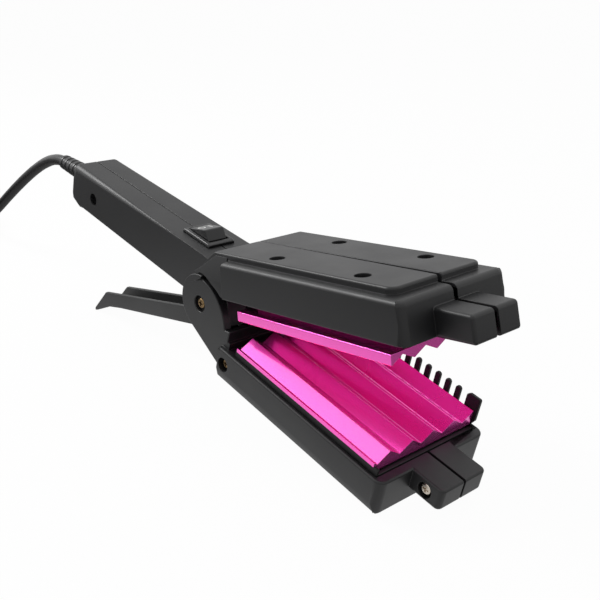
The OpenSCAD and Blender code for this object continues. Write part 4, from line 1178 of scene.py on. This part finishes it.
@dataclass
class PowerSwitch:
    """The rocker switch: bevelled bezel, tilting rocker and its printed marks."""

    centre_x: float = -34.0
    bezel_y: float = 7.5
    bezel_top_z: float = 13.0
    bezel_r: float = 1.0
    bezel_bend: float = 25.0
    bezel_edge: float = 0.3
    rocker_edge: float = 0.4
    ink_edge: float = 0.02
    mark_x: float = -2.6
    mark_y: float = 2.4
    mark_z: float = 15.87
    slope_deg: float = -18.74
    ink_mm: float = 0.12
    ring_r: float = 1.9
    line_mm: float = 0.55

    def lay_mark(self, name: str, y: float) -> Workpiece:
        """Takes a mark drawn flat at the origin and lays it on the rocker's slope.

        Args:
            name: The new piece's name.
            y: Where its middle lies across the rocker, in millimetres.

        Returns:
            The mark.
        """
        made = bpy.context.object
        made.rotation_euler = (0, math.radians(self.slope_deg), 0)
        made.location = Vector((self.centre_x + self.mark_x, y, self.mark_z)) * MM
        return Workpiece.primitive(name, Place.HANDLE)

    def ring_mark(self) -> None:
        """Makes the O as a flat ring."""
        bpy.ops.mesh.primitive_cylinder_add(vertices=ROUND_SIDES, radius=self.ring_r * MM, depth=self.ink_mm * MM)
        piece = self.lay_mark("mark_off", -self.mark_y)
        slope = math.radians(self.slope_deg)
        up = Vector((math.sin(slope), 0, math.cos(slope)))
        with piece:
            piece.pick_faces(lambda c, n: abs(n.dot(up)) > ALONG)
            bpy.ops.mesh.inset(thickness=self.line_mm * MM)
            bpy.ops.mesh.bridge_edge_loops()
        piece.settle(Body.ROCKER, PRINT_INK, "switch_black")

    def bar_mark(self) -> None:
        """Makes the I as a short bar."""
        bpy.ops.mesh.primitive_cube_add(size=1)
        bpy.context.object.scale = (2 * self.ring_r * MM, self.line_mm * MM, self.ink_mm * MM)
        piece = self.lay_mark("mark_on", self.mark_y)
        piece.soften(self.ink_edge, 1)
        piece.settle(Body.ROCKER, PRINT_INK, "switch_black")

    def build(self) -> None:
        """Makes the bezel, the rocker and its marks."""
        bezel = Workpiece.copy_of("switch_housing", "switch_bezel", Place.HANDLE)
        bevelled = Rounding(
            self.bezel_r, 4, self.bezel_bend, lambda s: s.near("y", self.bezel_y) and s.z > self.bezel_top_z
        )
        bezel.round_edges(bevelled)
        bezel.soften(self.bezel_edge)
        bezel.settle(Body.MAIN, SWITCH_ABS, "switch_black", "switch_housing")
        rocker = Workpiece.copy_of("switch_rocker", "rocker_cap", Place.HANDLE)
        rocker.soften(self.rocker_edge, 3)
        rocker.settle(Body.ROCKER, SWITCH_ABS, "switch_black", "switch_rocker")
        self.ring_mark()
        self.bar_mark()


# ---------------------------------------------------------------- studio


@dataclass(frozen=True)
class SoftBox:
    """A soft box that faces the object: its place, the way its height runs, its width and height in metres."""

    name: str
    place: Point
    along: Point
    size: Pair
    watts: float
    aim: Point = (0.05, 0.0, 0.05)

    def hang(self) -> None:
        """Hangs the lamp up and turns it to the object."""
        held = bpy.data.lights.new(self.name, "AREA")
        held.shape = "RECTANGLE"
        held.size, held.size_y = self.size
        held.energy = self.watts
        lamp = add_object(self.name, held)
        back = (Vector(self.place) - Vector(self.aim)).normalized()
        wide = Vector(self.along).cross(back).normalized()
        lamp.location = self.place
        lamp.rotation_mode = "QUATERNION"
        lamp.rotation_quaternion = Matrix((wide, back.cross(wide), back)).transposed().to_quaternion()


@dataclass
class Studio:
    """Pale floor, plain soft light and the camera. Places and sizes are in metres."""

    camera_place: Point = (0.298385, -0.234693, 0.195840)
    heading_deg: float = 138.086
    pitch_deg: float = 21.596
    roll_deg: float = 1.454
    lens_mm: float = 53.075
    sensor_mm: float = 36.0
    clip: Pair = (0.01, 50.0)
    floor_half: float = 7.0
    floor_colour: str = "#ececec"
    floor_glow: float = 0.97
    floor_mirrored: float = 0.95
    # Painted pool of light on the floor as reflections see it: full glow within the first distance, down to dim_to by
    # the second
    lit_within: Pair = (0.11, 0.24)
    dim_to: float = 0.25
    world_lit: float = 0.38
    world_shown: float = 1.0
    lamps: tuple[SoftBox, ...] = (
        SoftBox("top_softbox", (0.1, 0.25, 1.1), (0, 1, 0), (1.0, 1.0), 2.4),
        SoftBox("edge_softbox", (-0.76, -0.42, 0.68), (0, 0, 1), (0.36, 0.36), 7.0),
        SoftBox("plate_strip", (-0.46, -0.3, 0.867), (-0.68, 0.177, -0.326), (0.05, 0.78), 0.24),
    )

    def camera(self) -> None:
        """Makes the camera and makes it the scene's own."""
        held = bpy.data.cameras.new("camera")
        held.lens = self.lens_mm
        held.sensor_width = self.sensor_mm
        held.clip_start, held.clip_end = self.clip
        camera = add_object("camera", held)
        turn, dip = math.radians(self.heading_deg), math.radians(self.pitch_deg)
        look = Vector((math.cos(turn) * math.cos(dip), math.sin(turn) * math.cos(dip), -math.sin(dip)))
        camera.location = self.camera_place
        camera.rotation_mode = "QUATERNION"
        upright = look.to_track_quat("-Z", "Y")
        camera.rotation_quaternion = upright @ Quaternion((0, 0, 1), math.radians(self.roll_deg))
        bpy.context.scene.camera = camera

    def seen(self, tree: bpy.types.NodeTree) -> bpy.types.NodeSocket:
        """Gives 1 for rays that show the background itself, and 0 for rays that light the object.

        Args:
            tree: The node tree to add to.

        Returns:
            The output that tells the two apart.
        """
        rays = add_node(tree, "ShaderNodeLightPath").outputs
        shown = rays["Is Camera Ray"]
        for other in ("Is Glossy Ray", "Is Transmission Ray"):
            shown = add_node(tree, "ShaderNodeMath", {0: shown, 1: rays[other]}, operation="MAXIMUM").outputs[0]
        return shown

    def floor(self) -> None:
        """Lays the pale floor, which keeps the object's shadow."""
        bpy.ops.mesh.primitive_plane_add(size=2 * self.floor_half, location=(0, 0, 0))
        floor = bpy.context.object
        floor.name = "floor"
        made = bpy.data.materials.new("matt_white_sweep")
        made.use_nodes = True
        tree = made.node_tree
        tree.nodes.clear()
        paper = add_node(tree, "ShaderNodeBsdfDiffuse", values={"Color": linear(self.floor_colour)}).outputs[0]
        # Reflections see a painted pool of light: the sheet's glow is painted weaker away from the object; the camera
        # sees it white all over
        place = add_node(tree, "ShaderNodeTexCoord").outputs["Object"]
        away = add_node(tree, "ShaderNodeVectorMath", {0: place}, operation="LENGTH").outputs["Value"]
        near, far = self.lit_within
        fade = {"From Min": near, "From Max": far, "To Min": 1.0, "To Max": self.dim_to}
        dim = add_node(tree, "ShaderNodeMapRange", {"Value": away}, fade).outputs["Result"]
        shown = add_node(tree, "ShaderNodeLightPath").outputs["Is Camera Ray"]
        level = add_node(tree, "ShaderNodeMath", {0: dim, 1: shown}, operation="MAXIMUM").outputs[0]
        glow = add_node(tree, "ShaderNodeEmission", {"Strength": level}, {"Color": linear(WHITE)}).outputs[0]
        more = self.floor_glow - self.floor_mirrored
        extra = add_node(tree, "ShaderNodeMath", {0: shown}, {1: more}, operation="MULTIPLY").outputs[0]
        terms, factor = {0: self.seen(tree), 2: extra}, {1: self.floor_mirrored}
        share = add_node(tree, "ShaderNodeMath", terms, factor, operation="MULTIPLY_ADD").outputs[0]
        mixed = add_node(tree, "ShaderNodeMixShader", {0: share, 1: paper, 2: glow})
        add_node(tree, "ShaderNodeOutputMaterial", {"Surface": mixed.outputs[0]})
        floor.data.materials.append(made)

    def world(self) -> None:
        """Makes the world white where it is seen and a soft grey where it lights."""
        world = bpy.data.worlds.new("white_room")
        world.use_nodes = True
        tree = world.node_tree
        tree.nodes.clear()
        soft, bright = (
            add_node(tree, "ShaderNodeBackground", values={"Color": linear(WHITE), "Strength": level}).outputs[0]
            for level in (self.world_lit, self.world_shown)
        )
        mixed = add_node(tree, "ShaderNodeMixShader", {0: self.seen(tree), 1: soft, 2: bright})
        add_node(tree, "ShaderNodeOutputWorld", {"Surface": mixed.outputs[0]})
        bpy.context.scene.world = world

    def build(self) -> None:
        """Makes the floor, the world and the lamps."""
        self.floor()
        self.world()
        for lamp in self.lamps:
            lamp.hang()
        bpy.context.scene.view_settings.view_transform = "Standard"


def dress_nodes() -> None:
    """Gives every CAD node its finish, also where a piece stands for it."""
    for node, finish in NODE_FINISH.items():
        finish.dress(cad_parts[node])
        LOG.info("%s is dressed in %s", node, finish.name)


def main() -> None:
    """Builds the camera, the cord, the pieces and the studio in order."""
    logging.basicConfig(level=logging.INFO, format="%(name)s: %(message)s")
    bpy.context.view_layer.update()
    studio = Studio()
    studio.camera()
    dress_nodes()
    for part in (
        MainsCord(),
        UpperHead(),
        LowerBody(),
        SqueezeLever(),
        ReturnSpring(),
        WavingPlates(),
        TraysAndComb(),
        SideScrews(),
        PowerSwitch(),
        studio,
    ):
        part.build()
        LOG.info("%s is built", type(part).__name__)


if __name__ == "__main__":
    main()
